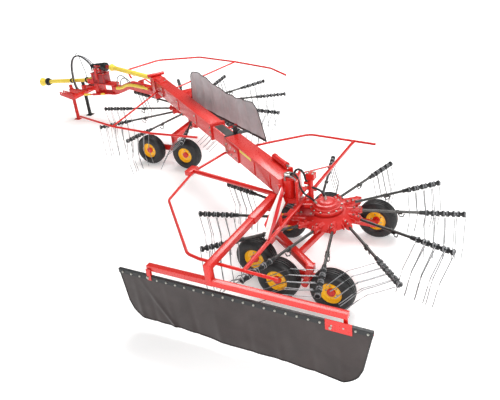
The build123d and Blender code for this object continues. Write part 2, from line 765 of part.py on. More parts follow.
head += rod((cross_tube_x, hoop_side(right_hoop_shares), guard_height),
            (cross_tube_x, hoop_side(left_hoop_shares), guard_height), cross_tube_radius)
arm_tip_x = rear_rotor_radius * left_hoop_shares[0][0]
arm_tip_y = (left_hoop_shares[0][1] + right_hoop_shares[0][1]) / 2 * rear_rotor_radius
head += rod((yaw_x, yaw_y, guard_height), (arm_tip_x, arm_tip_y, guard_height), forward_arm_radius)
sleeve_low = head_fork_low_top
sleeve_height = sleeve_low + sleeve_size / 2
head += block(yaw_x, sleeve_x + sleeve_size / 2, yaw_y - beam_bearing_radius, sleeve_start + 2 * sleeve_size,
              head_fork_low, sleeve_low)
sleeve = block(sleeve_x - sleeve_size / 2, sleeve_x + sleeve_size / 2, sleeve_start, sleeve_end, sleeve_low,
               sleeve_low + sleeve_size)
sleeve_hole = sleeve_size / 2 - sleeve_wall
sleeve -= block(sleeve_x - sleeve_hole, sleeve_x + sleeve_hole, sleeve_start - overrun, sleeve_end + overrun,
                sleeve_height - sleeve_hole, sleeve_height + sleeve_hole)
head += sleeve
head -= gearbox(0, 0)


def hoop(shares, radius, x, y, height, thickness=hoop_radius):
    points = [(x + radius * along, y + radius * across, height) for along, across in shares]
    return bent_tube(points, hoop_bend, thickness)


guard_bracket = block(arm_tip_x - overrun, arm_tip_x + hoop_bracket_size, arm_tip_y - hoop_bracket_size,
                      arm_tip_y + hoop_bracket_size, guard_height - hoop_bracket_height / 2,
                      guard_height + hoop_bracket_height / 2)
head += guard_bracket
board_back = cross_tube_x - board_post_size / 2 - seat_gap - board_thickness / 2
board_fall = (board_outer[1] - board_inner[1]) / (board_outer[0] - board_inner[0])
for post_at in board_post_at:
    board_middle = board_inner[1] + board_fall * (post_at - board_inner[0])
    head += block(cross_tube_x - board_post_size / 2, cross_tube_x + board_post_size / 2,
                  post_at - board_post_size / 2, post_at + board_post_size / 2, guard_height,
                  board_middle + board_width / 2)
for word, shares in (("left", left_hoop_shares), ("right", right_hoop_shares)):
    nodes["rear_hoop_" + word] = hoop(shares, rear_rotor_radius, 0, 0, guard_height)
    head -= hoop(shares, rear_rotor_radius, 0, 0, guard_height, hoop_radius + seat_gap)
nodes["rear_head"] = head

# Rear rotor, gearbox, chassis and rockers
nodes["rear_gearbox"] = gearbox(0, 0)
rear_first_arm_angle = first_arm_angle(rear_first_tip_angle, rear_rotor_radius)
nodes["rear_hub"] = rotor_hub(0, 0, rear_arm_count, rear_first_arm_angle)
nodes["rear_arms"] = rotor_arms(0, 0, rear_rotor_radius, rear_arm_count, rear_first_arm_angle, rear_lifts)
rear_chassis = block(-rear_column_half, rear_column_half, -rear_column_half, rear_column_half,
                     rear_column_bottom, column_top)
rear_chassis += upright(0, 0, collar_radius, column_top, hub_bottom - running_gap)
rear_chassis += upright(0, 0, axle_radius, column_top, gearbox_bottom)
rear_chassis += bar((0, 0, rear_spine_height), (rear_frame_front, 0, rear_spine_height), rear_spine_width,
                    rear_spine_width)
rear_chassis += bar((rear_frame_front, rear_axle_shift - rear_frame_spread, rear_frame_height),
                    (rear_frame_front, rear_axle_shift + rear_frame_spread, rear_frame_height),
                    rear_frame_tube, rear_frame_tube)
pivot_height = tyre_radius + rocker_drop
for side in (-1, 1):
    front_end = (rear_frame_front, rear_axle_shift + side * rear_frame_spread, rear_frame_height)
    leg_y = rear_axle_shift + side * (rear_track_half - rear_corner_in)
    corner = (-rear_axle_back - rear_corner_back, leg_y, rear_frame_height)
    rear_chassis += bar(front_end, corner, rear_frame_tube, rear_frame_tube)
    rear_chassis += Pos(*corner) * Box(rear_frame_tube, rear_frame_tube, rear_frame_tube)
    knot = [start + (end - start) * rear_strut_share for start, end in zip(front_end, corner)]
    rear_chassis += bar((0, 0, rear_spine_height), knot, rear_strut_tube, rear_strut_tube)
    rear_chassis += bar(corner, (-rear_axle_back, leg_y, pivot_height), rear_leg_tube, rear_leg_tube)
    outside = rear_track_half - tyre_width / 2 - rocker_gap_to_tyre + seat_gap
    boss_end = leg_y + side * (rear_leg_tube / 2 + rear_leg_boss_reach)
    rear_chassis += rod((-rear_axle_back, rear_axle_shift + side * outside, pivot_height),
                        (-rear_axle_back, boss_end, pivot_height), rear_leg_boss_radius)
guide_inner = guide_wheel_y - tyre_width / 2 - rocker_gap_to_tyre
guide_end = guide_wheel_y + hub_boss_reach + stub_reach_past_wheel
rear_chassis += bar((rear_frame_front, 0, rear_frame_height), (guide_wheel_x, 0, rear_frame_height),
                    rear_frame_tube, rear_frame_tube)
rear_chassis += block(guide_wheel_x - leg_tube / 2, guide_wheel_x + leg_tube / 2, -leg_tube / 2, leg_tube / 2,
                      tyre_radius - leg_tube / 2, rear_frame_height + rear_frame_tube / 2)
rear_chassis += block(guide_wheel_x - leg_tube / 2, guide_wheel_x + leg_tube / 2, -guide_inner, guide_inner,
                      tyre_radius - leg_tube / 2, tyre_radius + leg_tube / 2)
rear_chassis += stub_axle(guide_wheel_x, -guide_end, guide_end)
nodes["rear_chassis"] = rear_chassis

# Front rotor with its gearbox, chassis and rockers
nodes["front_gearbox"] = gearbox(front_rotor_x, front_rotor_y)
front_first_arm_angle = first_arm_angle(front_first_tip_angle, front_rotor_radius)
nodes["front_hub"] = rotor_hub(front_rotor_x, front_rotor_y, front_arm_count, front_first_arm_angle)
nodes["front_arms"] = rotor_arms(front_rotor_x, front_rotor_y, front_rotor_radius, front_arm_count,
                                 front_first_arm_angle, front_lifts)
nodes["front_chassis"] = chassis(front_rotor_x, front_rotor_y, front_track_half, front_axle_back)

for side, word in ((1, "left"), (-1, "right")):
    nodes["rear_rocker_" + word] = rocker(-rear_axle_back, rear_axle_shift, side, rear_track_half,
                                          rear_axle_half)
    nodes["front_rocker_" + word] = rocker(front_rotor_x - front_axle_back, front_rotor_y, side,
                                           front_track_half, front_axle_half)

# Wheels: name, place in plan
wheels = [("guide_left", guide_wheel_x, guide_wheel_y), ("guide_right", guide_wheel_x, -guide_wheel_y)]
for side, word in ((1, "left"), (-1, "right")):
    for way, end in ((1, "fore"), (-1, "aft")):
        wheels.append(("rear_" + word + "_" + end, way * rear_axle_half - rear_axle_back,
                       rear_axle_shift + side * rear_track_half))
        wheels.append(("front_" + word + "_" + end, front_rotor_x - front_axle_back + way * front_axle_half,
                       front_rotor_y + side * front_track_half))
for wheel_name, wheel_x, wheel_y in wheels:
    nodes["tyre_" + wheel_name] = wheel_tyre(wheel_x, wheel_y)
    nodes["rim_" + wheel_name] = wheel_rim(wheel_x, wheel_y)

# Front guard tubes, each with its stay to the beam
for word, shares, side, knot, stay_at in (
        ("left", front_left_hoop_shares, -1, left_stay_share, left_stay_at),
        ("right", front_right_hoop_shares, 1, right_stay_share, right_stay_at)):
    guard = hoop(shares, front_rotor_radius, front_rotor_x, front_rotor_y, front_guard_height)
    outer = (front_rotor_x + front_rotor_radius * knot[0], front_rotor_y + front_rotor_radius * knot[1],
             front_guard_height)
    inner = on_beam(stay_at, side * (outer_beam_width / 2 + seat_gap), front_guard_height)
    guard += rod(outer, inner, stay_radius)
    guard -= beam_box(outer_beam_start, outer_beam_end, outer_beam_width + 2 * seat_gap, outer_beam_depth)
    guard -= neck_hull
    nodes["front_guard_" + word] = guard

# Swath curtain on its sliding arm
curtain_arm_size = 2 * sleeve_hole - 2 * leg_clearance
curtain_arm = bar((sleeve_x, curtain_arm_start, sleeve_height), (sleeve_x, curtain_bar_y, sleeve_height),
                  curtain_arm_size, curtain_arm_size)
bar_low = curtain_bar_height - curtain_bar_size / 2
curtain_arm += block(sleeve_x - curtain_arm_size / 2, sleeve_x + curtain_arm_size / 2,
                     curtain_bar_y - curtain_arm_size / 2, curtain_bar_y + curtain_arm_size / 2, bar_low,
                     sleeve_height + curtain_arm_size / 2)
curtain_arm += block(curtain_bar_back, curtain_bar_front, curtain_bar_y - curtain_bar_size / 2,
                     curtain_bar_y + curtain_bar_size / 2, bar_low, bar_low + curtain_bar_size)
clamp_low = curtain_top - curtain_clamp_height
clamp_y = curtain_y - curtain_thickness / 2 - seat_gap
for drop_x in (curtain_bar_back, curtain_bar_front - curtain_drop_size):
    curtain_arm += block(drop_x, drop_x + curtain_drop_size, clamp_y - curtain_clamp_thickness, clamp_y,
                         clamp_low, bar_low + curtain_bar_size / 2)
curtain_arm += block(curtain_back, curtain_front, clamp_y - curtain_clamp_thickness, clamp_y,
                     clamp_low, curtain_top)
nodes["curtain_frame"] = curtain_arm

cloth = block(curtain_back, curtain_front, curtain_y - curtain_thickness / 2,
              curtain_y + curtain_thickness / 2, curtain_bottom, curtain_top)
low_corners = cloth.edges().filter_by(Axis.Y).filter_by(lambda e: e.center().Z < curtain_bottom + overrun)
nodes["swath_curtain"] = fillet(low_corners, curtain_corner)

# Middle curtain, its rail in two lugs on the beam
rail_front = (*fold_rail_front, fold_rail_height)
rail_back = (*fold_rail_back, fold_rail_height)
rail_way = (Vector(*rail_back) - Vector(*rail_front)).normalized()
rail_length = reach(rail_front, rail_back)
fold_plane = Plane(origin=rail_front, x_dir=rail_way, z_dir=rail_way.cross(Vector(0, 0, 1)))
fold_low = fold_rail_radius + seat_gap
fold_outline = Polyline((0, fold_low), (rail_length, fold_low), (rail_length, fold_back_rise),
                        (0, fold_front_rise), close=True)
fold_cloth = extrude(fold_plane * make_face(fold_outline), fold_thickness / 2, both=True)
fold_corners = fold_cloth.edges().filter_by(lambda e: abs(e.length - fold_thickness) < match_tolerance)
fold_top_corners = fold_corners.filter_by(lambda e: e.center().Z > fold_rail_height + fold_back_rise / 2)
middle_curtain = fillet(fold_top_corners, fold_corner)
nodes["middle_curtain_rail"] = rod(rail_front, rail_back, fold_rail_radius)
lug_bore = fold_rail_radius + bearing_gap


def on_rail(distance):
    point = Vector(*rail_front) + rail_way * distance
    return (point.X, point.Y, point.Z)


lugs = []
notches = []
for share in fold_lug_share:
    at = rail_length * share
    lug = rod(on_rail(at), on_rail(at + 2 * fold_lug_radius), fold_lug_radius)
    middle = on_rail(at + fold_lug_radius)
    towards = ((middle[0] - post_x) * beam_way[0] + (middle[1] - post_y) * beam_way[1])
    lug += bar(middle, on_beam(towards, outer_beam_width / 2 + seat_gap, fold_rail_height), fold_lug_radius,
               fold_lug_radius)
    notches.append(rod(on_rail(at - running_gap), on_rail(at + 2 * fold_lug_radius + running_gap),
                       fold_lug_radius + running_gap))
    lug -= rod(on_rail(at - overrun), on_rail(at + 2 * fold_lug_radius + overrun), lug_bore)
    lugs.append(lug)
nodes["curtain_lugs"] = Compound([solid for lug in lugs for solid in lug.solids()])
nodes["middle_curtain"] = middle_curtain - notches

# Warning boards, one above the other on two posts of the cross tube
boards = []
for side in (-1, 1):
    rise = side * (board_width + board_gap) / 2
    boards.append(bar((board_back, board_inner[0], board_inner[1] + rise),
                      (board_back, board_outer[0], board_outer[1] + rise), board_thickness, board_width))
nodes["warning_boards"] = Compound([solid for board in boards for solid in board.solids()])

# The origin is the middle of the ground that the machine covers
whole = Compound([solid for shape in nodes.values() for solid in shape.solids()])
box = whole.bounding_box()
origin_x = (box.min.X + box.max.X) / 2
origin_y = (box.min.Y + box.max.Y) / 2
placed = {name: Pos(-origin_x, -origin_y, 0) * shape for name, shape in nodes.items()}

os.makedirs("parts", exist_ok=True)
for name, shape in placed.items():
    export_step(shape, "parts/" + name + ".step")
print("nodes", len(placed), "origin", round(origin_x, 3), round(origin_y, 3), "size", box.size)
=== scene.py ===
import json
from math import asin, cos, pi, radians, sin

import bmesh
import bpy
from mathutils import Matrix, Vector, noise


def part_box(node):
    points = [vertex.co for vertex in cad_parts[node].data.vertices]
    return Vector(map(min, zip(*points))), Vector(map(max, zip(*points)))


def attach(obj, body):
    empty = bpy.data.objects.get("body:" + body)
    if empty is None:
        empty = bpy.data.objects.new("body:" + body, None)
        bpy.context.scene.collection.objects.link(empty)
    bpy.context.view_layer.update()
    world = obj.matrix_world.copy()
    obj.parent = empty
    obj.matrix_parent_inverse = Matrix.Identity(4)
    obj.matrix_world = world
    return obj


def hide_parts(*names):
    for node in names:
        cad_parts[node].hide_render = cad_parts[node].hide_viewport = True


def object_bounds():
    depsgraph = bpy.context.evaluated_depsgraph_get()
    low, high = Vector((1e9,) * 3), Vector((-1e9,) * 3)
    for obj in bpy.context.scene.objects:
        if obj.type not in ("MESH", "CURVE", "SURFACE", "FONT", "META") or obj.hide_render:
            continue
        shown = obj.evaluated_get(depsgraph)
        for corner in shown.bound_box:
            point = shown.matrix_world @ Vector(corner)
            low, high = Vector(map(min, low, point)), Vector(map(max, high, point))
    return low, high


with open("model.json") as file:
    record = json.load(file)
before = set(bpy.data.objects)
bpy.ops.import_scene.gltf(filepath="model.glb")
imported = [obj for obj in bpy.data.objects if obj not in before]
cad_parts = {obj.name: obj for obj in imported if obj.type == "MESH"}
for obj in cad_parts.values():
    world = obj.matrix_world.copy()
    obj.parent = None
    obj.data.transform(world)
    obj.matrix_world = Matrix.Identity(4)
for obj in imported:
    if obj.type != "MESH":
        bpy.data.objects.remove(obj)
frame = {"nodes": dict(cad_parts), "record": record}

cad_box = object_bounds()
joints = {joint["name"]: joint for joint in frame["record"]["behaviour"]["joints"]}

# Camera
# It stands behind the rake's left side and looks down over the rear rotor, as a photographer on
# a step ladder would. Its place is measured from the rear rotor's centre.
rear_centre = Vector(joints["rear_rotor_spin"]["pos_m"])
front_centre = Vector(joints["front_rotor_spin"]["pos_m"])
frame_width_px = 500
sensor_mm = 36
focal_px = 603
camera_place = (-2.28, 5.53, 4.21)
# In radians: yaw from the -Y axis, pitch down from level, roll about the line of sight
camera_yaw = 0.5341
camera_pitch = 0.4974
camera_roll = -0.1082


def spot(x, y, z):
    """A place measured in plan from the rear rotor's centre, z up from the ground."""
    return Vector((rear_centre.x + x, rear_centre.y + y, z))


gaze = Vector((sin(camera_yaw) * cos(camera_pitch), -cos(camera_yaw) * cos(camera_pitch),
               -sin(camera_pitch)))
level_right = gaze.cross(Vector((0, 0, 1))).normalized()
level_up = level_right.cross(gaze)
right = level_right * cos(camera_roll) + level_up * sin(camera_roll)
up = level_up * cos(camera_roll) - level_right * sin(camera_roll)
camera_data = bpy.data.cameras.new("camera")
camera_data.sensor_width = sensor_mm
camera_data.lens = focal_px / frame_width_px * sensor_mm
camera_data.clip_end = 200
camera = bpy.data.objects.new("camera", camera_data)
bpy.context.collection.objects.link(camera)
camera.matrix_world = Matrix((right, up, -gaze)).transposed().to_4x4()
camera.location = spot(*camera_place)
bpy.context.scene.camera = camera

# Beams, frames, hanger, chassis and rockers
# Folded and welded steel tube and plate with rounded corners, sprayed with bright red machine
# enamel. The enamel is glossy, with a faint orange peel and a little dust on what faces up.


def linear(hex_code):
    """An sRGB hex colour in the linear values that the shaders take."""
    channels = [int(hex_code[i:i + 2], 16) / 255 for i in (1, 3, 5)]
    return [c / 12.92 if c <= 0.04045 else ((c + 0.055) / 1.055) ** 2.4 for c in channels] + [1]


def add(owner, kind, inputs, **attributes):
    """Adds one node with its settings to a material or the world. An input is a value, or
    another node's output to link."""
    node = owner.node_tree.nodes.new(kind)
    for name, value in attributes.items():
        setattr(node, name, value)
    for socket, value in inputs.items():
        if isinstance(value, bpy.types.NodeSocket):
            owner.node_tree.links.new(value, node.inputs[socket])
        else:
            node.inputs[socket].default_value = value
    return node


def new_material(name):
    """An empty material whose nodes are added one by one."""
    material = bpy.data.materials.new(name)
    material.use_nodes = True
    material.node_tree.nodes.clear()
    return material


def shade(material, **inputs):
    """Ends a material in a principled shader. Input names are given in lower case."""
    named = {name.replace("_", " ").title().replace("Ior", "IOR"): value for name, value in inputs.items()}
    shader = add(material, "ShaderNodeBsdfPrincipled", named)
    add(material, "ShaderNodeOutputMaterial", {"Surface": shader.outputs["BSDF"]})
    return material


def enamel(name, colour, tired, roughness, coat):
    """Sprayed machine enamel: two close tones in patches, orange peel and dust on top faces."""
    peel_mm = 4
    speck_mm = 16.7
    patch_mm = 350
    material = new_material(name)
    place = add(material, "ShaderNodeTexCoord", {}).outputs["Object"]
    patches = add(material, "ShaderNodeTexNoise", {"Vector": place, "Scale": 1000 / patch_mm, "Detail": 6})
    tone = add(material, "ShaderNodeMix", {
        0: patches.outputs["Fac"], 6: linear(colour), 7: linear(tired)}, data_type="RGBA")
    facing = add(material, "ShaderNodeSeparateXYZ", {
        0: add(material, "ShaderNodeNewGeometry", {}).outputs["Normal"]})
    specks = add(material, "ShaderNodeTexNoise", {
        "Vector": place, "Scale": 1000 / speck_mm, "Detail": 8, "Roughness": 0.7})
    lying = add(material, "ShaderNodeMath", {0: facing.outputs["Z"], 1: specks.outputs["Fac"]},
                operation="MULTIPLY")
    dust = add(material, "ShaderNodeMapRange", {
        "Value": lying.outputs[0], "From Min": 0.42, "From Max": 0.75, "To Min": 0, "To Max": 0.09})
    dusted = add(material, "ShaderNodeMix", {
        0: dust.outputs[0], 6: tone.outputs[2], 7: linear("#b9a58c")}, data_type="RGBA")
    gloss = add(material, "ShaderNodeMapRange", {
        "Value": specks.outputs["Fac"], "From Min": 0.3, "From Max": 0.7,
        "To Min": roughness - 0.05, "To Max": roughness + 0.09})
    peel = add(material, "ShaderNodeTexNoise", {"Vector": place, "Scale": 1000 / peel_mm, "Detail": 2})
    relief = add(material, "ShaderNodeBump", {
        "Height": peel.outputs["Fac"], "Strength": 0.12, "Distance": 0.0006})
    return shade(material, base_color=dusted.outputs[2], roughness=gloss.outputs[0],
                 normal=relief.outputs[0], coat_weight=coat, coat_roughness=0.18)


red_enamel = enamel("bright_red_enamel", "#dc2317", "#c21714", 0.28, 0.3)
# This deep red is used on the hitch gearbox, and on the rear shield as painted shade for the shadow under
# the beam
deep_red_enamel_and_painted_shade = enamel("deep_red_enamel_and_painted_shade", "#a8161a", "#861217", 0.36, 0.3)


def into_scene(name, mesh, material, body):
    """Makes a mesh a piece of the rake that rides on a body."""
    mesh.name = name
    mesh.materials.append(material)
    piece = bpy.data.objects.new(name, mesh)
    bpy.context.collection.objects.link(piece)
    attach(piece, body)
    return piece


def to_mesh(bm, smooth_angle=35):
    """Ends a bmesh as a mesh whose faces point outwards and whose gentle edges are smooth."""
    bmesh.ops.recalc_face_normals(bm, faces=bm.faces)
    for face in bm.faces:
        face.smooth = True
    for edge in bm.edges:
        edge.smooth = len(edge.link_faces) == 2 and edge.calc_face_angle(0) < radians(smooth_angle)
    mesh = bpy.data.meshes.new("shape")
    bm.to_mesh(mesh)
    bm.free()
    return mesh


def make_piece(name, bm, material, body, smooth_angle=35):
    """Ends a bmesh as a piece of the rake that rides on a body."""
    return into_scene(name, to_mesh(bm, smooth_angle), material, body)


bodies = frame["record"]["behaviour"]["bodies"]
node_body = {node: body for body, nodes in bodies.items() for node in nodes}
weld_distance = 0.00002
flat_angle = radians(1)
corner_angle = radians(40)


def softened(node, radius, material):
    """A steel node with whole faces and edges rounded to a radius. It stands for the node."""
    bm = bmesh.new()
    bm.from_mesh(frame["nodes"][node].data)
    bmesh.ops.remove_doubles(bm, verts=bm.verts, dist=weld_distance)
    bmesh.ops.dissolve_limit(bm, angle_limit=flat_angle, verts=bm.verts, edges=bm.edges)
    sharp = [edge for edge in bm.edges
             if len(edge.link_faces) == 2 and edge.calc_face_angle(0) > corner_angle]
    bmesh.ops.bevel(bm, geom=sharp, offset=radius, segments=2, profile=0.5, affect="EDGES",
                    clamp_overlap=True, material=-1)
    piece = make_piece(node + "_steel", bm, material, node_body[node])
    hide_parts(node)


plate_corner = 0.005
for node in ("outer_beam", "inner_beam", "rear_beam", "pivot_post", "front_hanger", "gooseneck",
             "headstock", "rear_head", "front_chassis", "rear_chassis", "front_rocker_left",
             "front_rocker_right", "rear_rocker_left", "rear_rocker_right"):
    softened(node, plate_corner, red_enamel)

# Guard hoops
# Round steel tube, 34 mm across, bent in plan and sprayed red. The CAD tubes are already round,
# so only their sawn ends are broken by a small corner.
sawn_corner = 0.001
for node in ("rear_hoop_left", "rear_hoop_right", "front_guard_left", "front_guard_right"):
    softened(node, sawn_corner, red_enamel)

# Rotor arms
# Galvanised round tube that runs from a socket in the bell to a square-section tine carrier
# under black paint. A hook bracket halfway holds the arm when it is taken off for the road.
arm_count = {"rear": 12, "front": 11}
arm_tip = {"rear": 1.5, "front": 1.64}
# In degrees: where the first arm's tip points, and how far the cam has turned the lifted arms
first_tip = {"rear": -162, "front": -178.2}
lifted = {"rear": {8: 45, 9: 75, 10: 75, 11: 38}, "front": {0: 40, 10: 70, 9: 40}}
arm_droop = radians(0.2)
# The arms pass the axle on one side, like spokes that lie on a tangent
arm_offset = 0.11
# Shares of the way out to the tip
carrier_share = 0.7
first_tine_share = 0.735
last_tine_share = 0.99
hook_share = 0.52
tines_per_arm = 8
tine_drop = 0.585
centre = {"rear": rear_centre, "front": front_centre}


def sweep(bm, points, radius, sides):
    """A round bar through points: a ring is extruded from each point to the next."""
    points = [Vector(p) for p in points]
    ring_matrix = None
    edges = None
    for number, point in enumerate(points):
        before = points[max(number - 1, 0)]
        after = points[min(number + 1, len(points) - 1)]
        turn = (after - before).to_track_quat("Z", "Y").to_matrix().to_4x4()
        matrix = Matrix.Translation(point) @ turn
        if edges is None:
            ring = bmesh.ops.create_circle(bm, cap_ends=True, segments=sides, radius=radius,
                                           matrix=matrix)
            edges = list({edge for vert in ring["verts"] for edge in vert.link_edges})
        else:
            made = bmesh.ops.extrude_edge_only(bm, edges=edges)["geom"]
            verts = [item for item in made if isinstance(item, bmesh.types.BMVert)]
            edges = [item for item in made if isinstance(item, bmesh.types.BMEdge)
                     and item.verts[0] in verts and item.verts[1] in verts]
            bmesh.ops.transform(bm, matrix=matrix @ ring_matrix.inverted(), verts=verts)
        ring_matrix = matrix
    bmesh.ops.contextual_create(bm, geom=edges)


def lump(bm, size, matrix, edge=0.0):
    """A block of a size with bevelled edges, put in place by a matrix."""
    made = bmesh.ops.create_cube(bm, size=1.0, matrix=matrix @ Matrix.Diagonal((*size, 1)))
    if edge:
        edges = list({e for vert in made["verts"] for e in vert.link_edges})
        bmesh.ops.bevel(bm, geom=edges, offset=edge, segments=1, profile=0.5, affect="EDGES",
                        clamp_overlap=True, material=-1)


rim_angle = radians(60)


def drum(bm, radius, depth, matrix, sides=24, edge=0.0):
    """A round disc or boss whose axis is the matrix's Z."""
    made = bmesh.ops.create_cone(bm, cap_ends=True, segments=sides, radius1=radius, radius2=radius,
                                 depth=depth, matrix=matrix)
    if edge:
        rims = {e for vert in made["verts"] for e in vert.link_edges
                if len(e.link_faces) == 2 and e.calc_face_angle(0) > rim_angle}
        bmesh.ops.bevel(bm, geom=list(rims), offset=edge, segments=2, profile=0.5, affect="EDGES",
                        clamp_overlap=True, material=-1)


# Turns that lay a drum's or a bolt's own Z along another axis
z_to_x = Matrix.Rotation(pi / 2, 4, "Y")
z_to_y = Matrix.Rotation(-pi / 2, 4, "X")
z_to_minus_y = Matrix.Rotation(pi / 2, 4, "X")


def scattered(name, patterns, material, body):
    """One piece made of copies of meshes: patterns is a list of mesh and matrix pairs."""
    bm = bmesh.new()
    for mesh, matrix in patterns:
        before = len(bm.verts)
        bm.from_mesh(mesh)
        bm.verts.ensure_lookup_table()
        bmesh.ops.transform(bm, matrix=matrix, verts=bm.verts[before:])
    mesh = bpy.data.meshes.new(name)
    bm.to_mesh(mesh)
    bm.free()
    return into_scene(name, mesh, material, body)


def arm_matrices(rotor):
    """Where each arm of a rotor lies: its own X runs outwards along the tube."""
    lag = asin(arm_offset / arm_tip[rotor])
    matrices = []
    for number in range(arm_count[rotor]):
        angle = radians(first_tip[rotor] + 360 / arm_count[rotor] * number) - lag
        matrices.append(Matrix.Translation(centre[rotor]) @ Matrix.Rotation(angle, 4, "Z")
                        @ Matrix.Translation((0, arm_offset, 0)) @ Matrix.Rotation(arm_droop, 4, "Y"))
    return matrices


def galvanised():
    """Hot-dip zinc gone dull: cloudy grey patches a few centimetres wide."""
    cloud_mm = 45
    material = new_material("galvanised_steel")
    place = add(material, "ShaderNodeTexCoord", {}).outputs["Object"]
    cloud = add(material, "ShaderNodeTexNoise", {"Vector": place, "Scale": 1000 / cloud_mm, "Detail": 5})
    tone = add(material, "ShaderNodeMix", {
        0: cloud.outputs["Fac"], 6: linear("#3a3938"), 7: linear("#686765")}, data_type="RGBA")
    rough = add(material, "ShaderNodeMapRange", {
        "Value": cloud.outputs["Fac"], "From Min": 0.3, "From Max": 0.7, "To Min": 0.32, "To Max": 0.5})
    return shade(material, base_color=tone.outputs[2], metallic=0.85, roughness=rough.outputs[0])


def black_paint():
    """Satin black paint over steel, rubbed a little grey in spots."""
    spot_mm = 25
    material = new_material("satin_black_paint")
    place = add(material, "ShaderNodeTexCoord", {}).outputs["Object"]
    rub = add(material, "ShaderNodeTexNoise", {"Vector": place, "Scale": 1000 / spot_mm, "Detail": 6})
    tone = add(material, "ShaderNodeMix", {
        0: rub.outputs["Fac"], 6: linear("#0d0e0f"), 7: linear("#26282a")}, data_type="RGBA")
    rough = add(material, "ShaderNodeMapRange", {
        "Value": rub.outputs["Fac"], "From Min": 0.3, "From Max": 0.7, "To Min": 0.35, "To Max": 0.55})
    return shade(material, base_color=tone.outputs[2], roughness=rough.outputs[0])


def spring_steel():
    """Drawn spring wire, worn bright by the grass: pale grey with a fine streak along it."""
    streak_mm = 12
    material = new_material("spring_steel_wire")
    place = add(material, "ShaderNodeTexCoord", {}).outputs["Object"]
    streak = add(material, "ShaderNodeTexNoise", {"Vector": place, "Scale": 1000 / streak_mm, "Detail": 3})
    tone = add(material, "ShaderNodeMix", {
        0: streak.outputs["Fac"], 6: linear("#77787a"), 7: linear("#a9aaac")}, data_type="RGBA")
    return shade(material, base_color=tone.outputs[2], metallic=0.6, roughness=0.38)


zinc = galvanised()
black = black_paint()
wire_steel = spring_steel()

tube_radius = 0.0165
# How far out the sockets reach, and how far the tube goes on into its socket and its carrier
socket_reach = 0.39
tube_in_socket = 0.05
tube_in_carrier = 0.03
# The hook's bar, from under the tube round to its tip: out from its collar, aside and up
hook_route = ((0.03, 0.012, -0.01), (0.01, 0.02, -0.045), (0.03, 0.02, -0.075), (0.062, 0.01, -0.066),
              (0.075, 0.004, -0.03))
hook_radius = 0.007
hook_pad = (0.05, 0.05, 0.012)
hook_collar_wall = 0.006
hook_collar_length = 0.03
carrier_half = 0.016
carrier_sleeve_wall = 0.008
carrier_sleeve_length = 0.07
clamp_size = (0.036, 0.050, 0.054)
clamp_drop = 0.004
clamp_nut_radius = 0.009
clamp_nut_height = 0.014
wire_radius = 0.0046
coil_radius = 0.029
coil_width = 0.014
coil_turns = 1.5
coil_steps = 15
# How far each finger stands beside its clamp's middle, and how far the worn ones lean to a side
finger_aside = 0.02
finger_lean = 0.012
# The wire's run from the carrier down to its tip: share trailed and share dropped
wire_shares = ((0.02, 0.10), (0.07, 0.34), (0.125, 0.55), (0.10, 0.74), (0.06, 0.90), (0.045, 1.0))


def arm_tube(rotor):
    """The tube with its bolted hook, along X."""
    bm = bmesh.new()
    tip = arm_tip[rotor]
    sweep(bm, [(socket_reach - tube_in_socket, 0, 0), (tip * carrier_share + tube_in_carrier, 0, 0)],
          tube_radius, 16)
    hook_x = tip * hook_share
    sweep(bm, [(hook_x + out, aside, rise) for out, aside, rise in hook_route], hook_radius, 8)
    lump(bm, hook_pad, Matrix.Translation((hook_x + hook_route[0][0], 0, -tube_radius)), 0.002)
    drum(bm, tube_radius + hook_collar_wall, hook_collar_length,
         Matrix.Translation((hook_x, 0, 0)) @ z_to_x, 16, 0.002)
    return to_mesh(bm)


def tine_places(rotor):
    """How far out each tine of an arm stands."""
    tip = arm_tip[rotor]
    step = tip * (last_tine_share - first_tine_share) / (tines_per_arm - 1)
    return [tip * first_tine_share + step * number for number in range(tines_per_arm)]


def carrier(rotor):
    """The black carrier with its sleeve over the tube and one clamp with a nut for each wire."""
    bm = bmesh.new()
    tip = arm_tip[rotor]
    start = tip * carrier_share
    lump(bm, (tip - start, 2 * carrier_half, 2 * carrier_half),
         Matrix.Translation(((tip + start) / 2, 0, 0)), 0.003)
    drum(bm, tube_radius + carrier_sleeve_wall, carrier_sleeve_length,
         Matrix.Translation((start, 0, 0)) @ z_to_x, 16, 0.003)
    for x in tine_places(rotor):
        lump(bm, clamp_size, Matrix.Translation((x, 0, -clamp_drop)), 0.008)
        drum(bm, clamp_nut_radius, clamp_nut_height, Matrix.Translation((x, 0, clamp_size[2] / 2)), 6)
    return to_mesh(bm)


def wires(rotor):
    """Four double spring wires: coils round the carrier, then two kinked fingers that trail."""
    bm = bmesh.new()
    for number, x in enumerate(tine_places(rotor)):
        inwards = 1 if number % 2 else -1
        points = []
        for i in range(coil_steps + 1):
            wound = i / coil_steps - 1
            turn = 2 * pi * coil_turns * wound - pi / 2
            points.append((x + inwards * coil_width * wound + inwards * finger_aside,
                           coil_radius * cos(turn), coil_radius * sin(turn)))
        lean = finger_lean * sin(number * 2.4)
        for trail, drop in wire_shares:
            points.append((x + inwards * finger_aside + lean * drop, -tine_drop * trail,
                           -tine_drop * drop))
        sweep(bm, points, wire_radius, 6)
    return to_mesh(bm, 60)


for rotor in ("rear", "front"):
    tube_mesh = arm_tube(rotor)
    carrier_mesh = carrier(rotor)
    wire_mesh = wires(rotor)
    tubes = []
    carriers = []
    combs = []
    for number, matrix in enumerate(arm_matrices(rotor)):
        turned = matrix @ Matrix.Rotation(radians(-lifted[rotor].get(number, 0)), 4, "X")
        tubes.append((tube_mesh, matrix))
        carriers.append((carrier_mesh, turned))
        combs.append((wire_mesh, turned))
    body = rotor + "_rotor"
    tube_piece = scattered(rotor + "_arm_tubes", tubes, zinc, body)
    scattered(rotor + "_tine_carriers", carriers, black, body)
    scattered(rotor + "_tines", combs, wire_steel, body)
    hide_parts(rotor + "_arms")

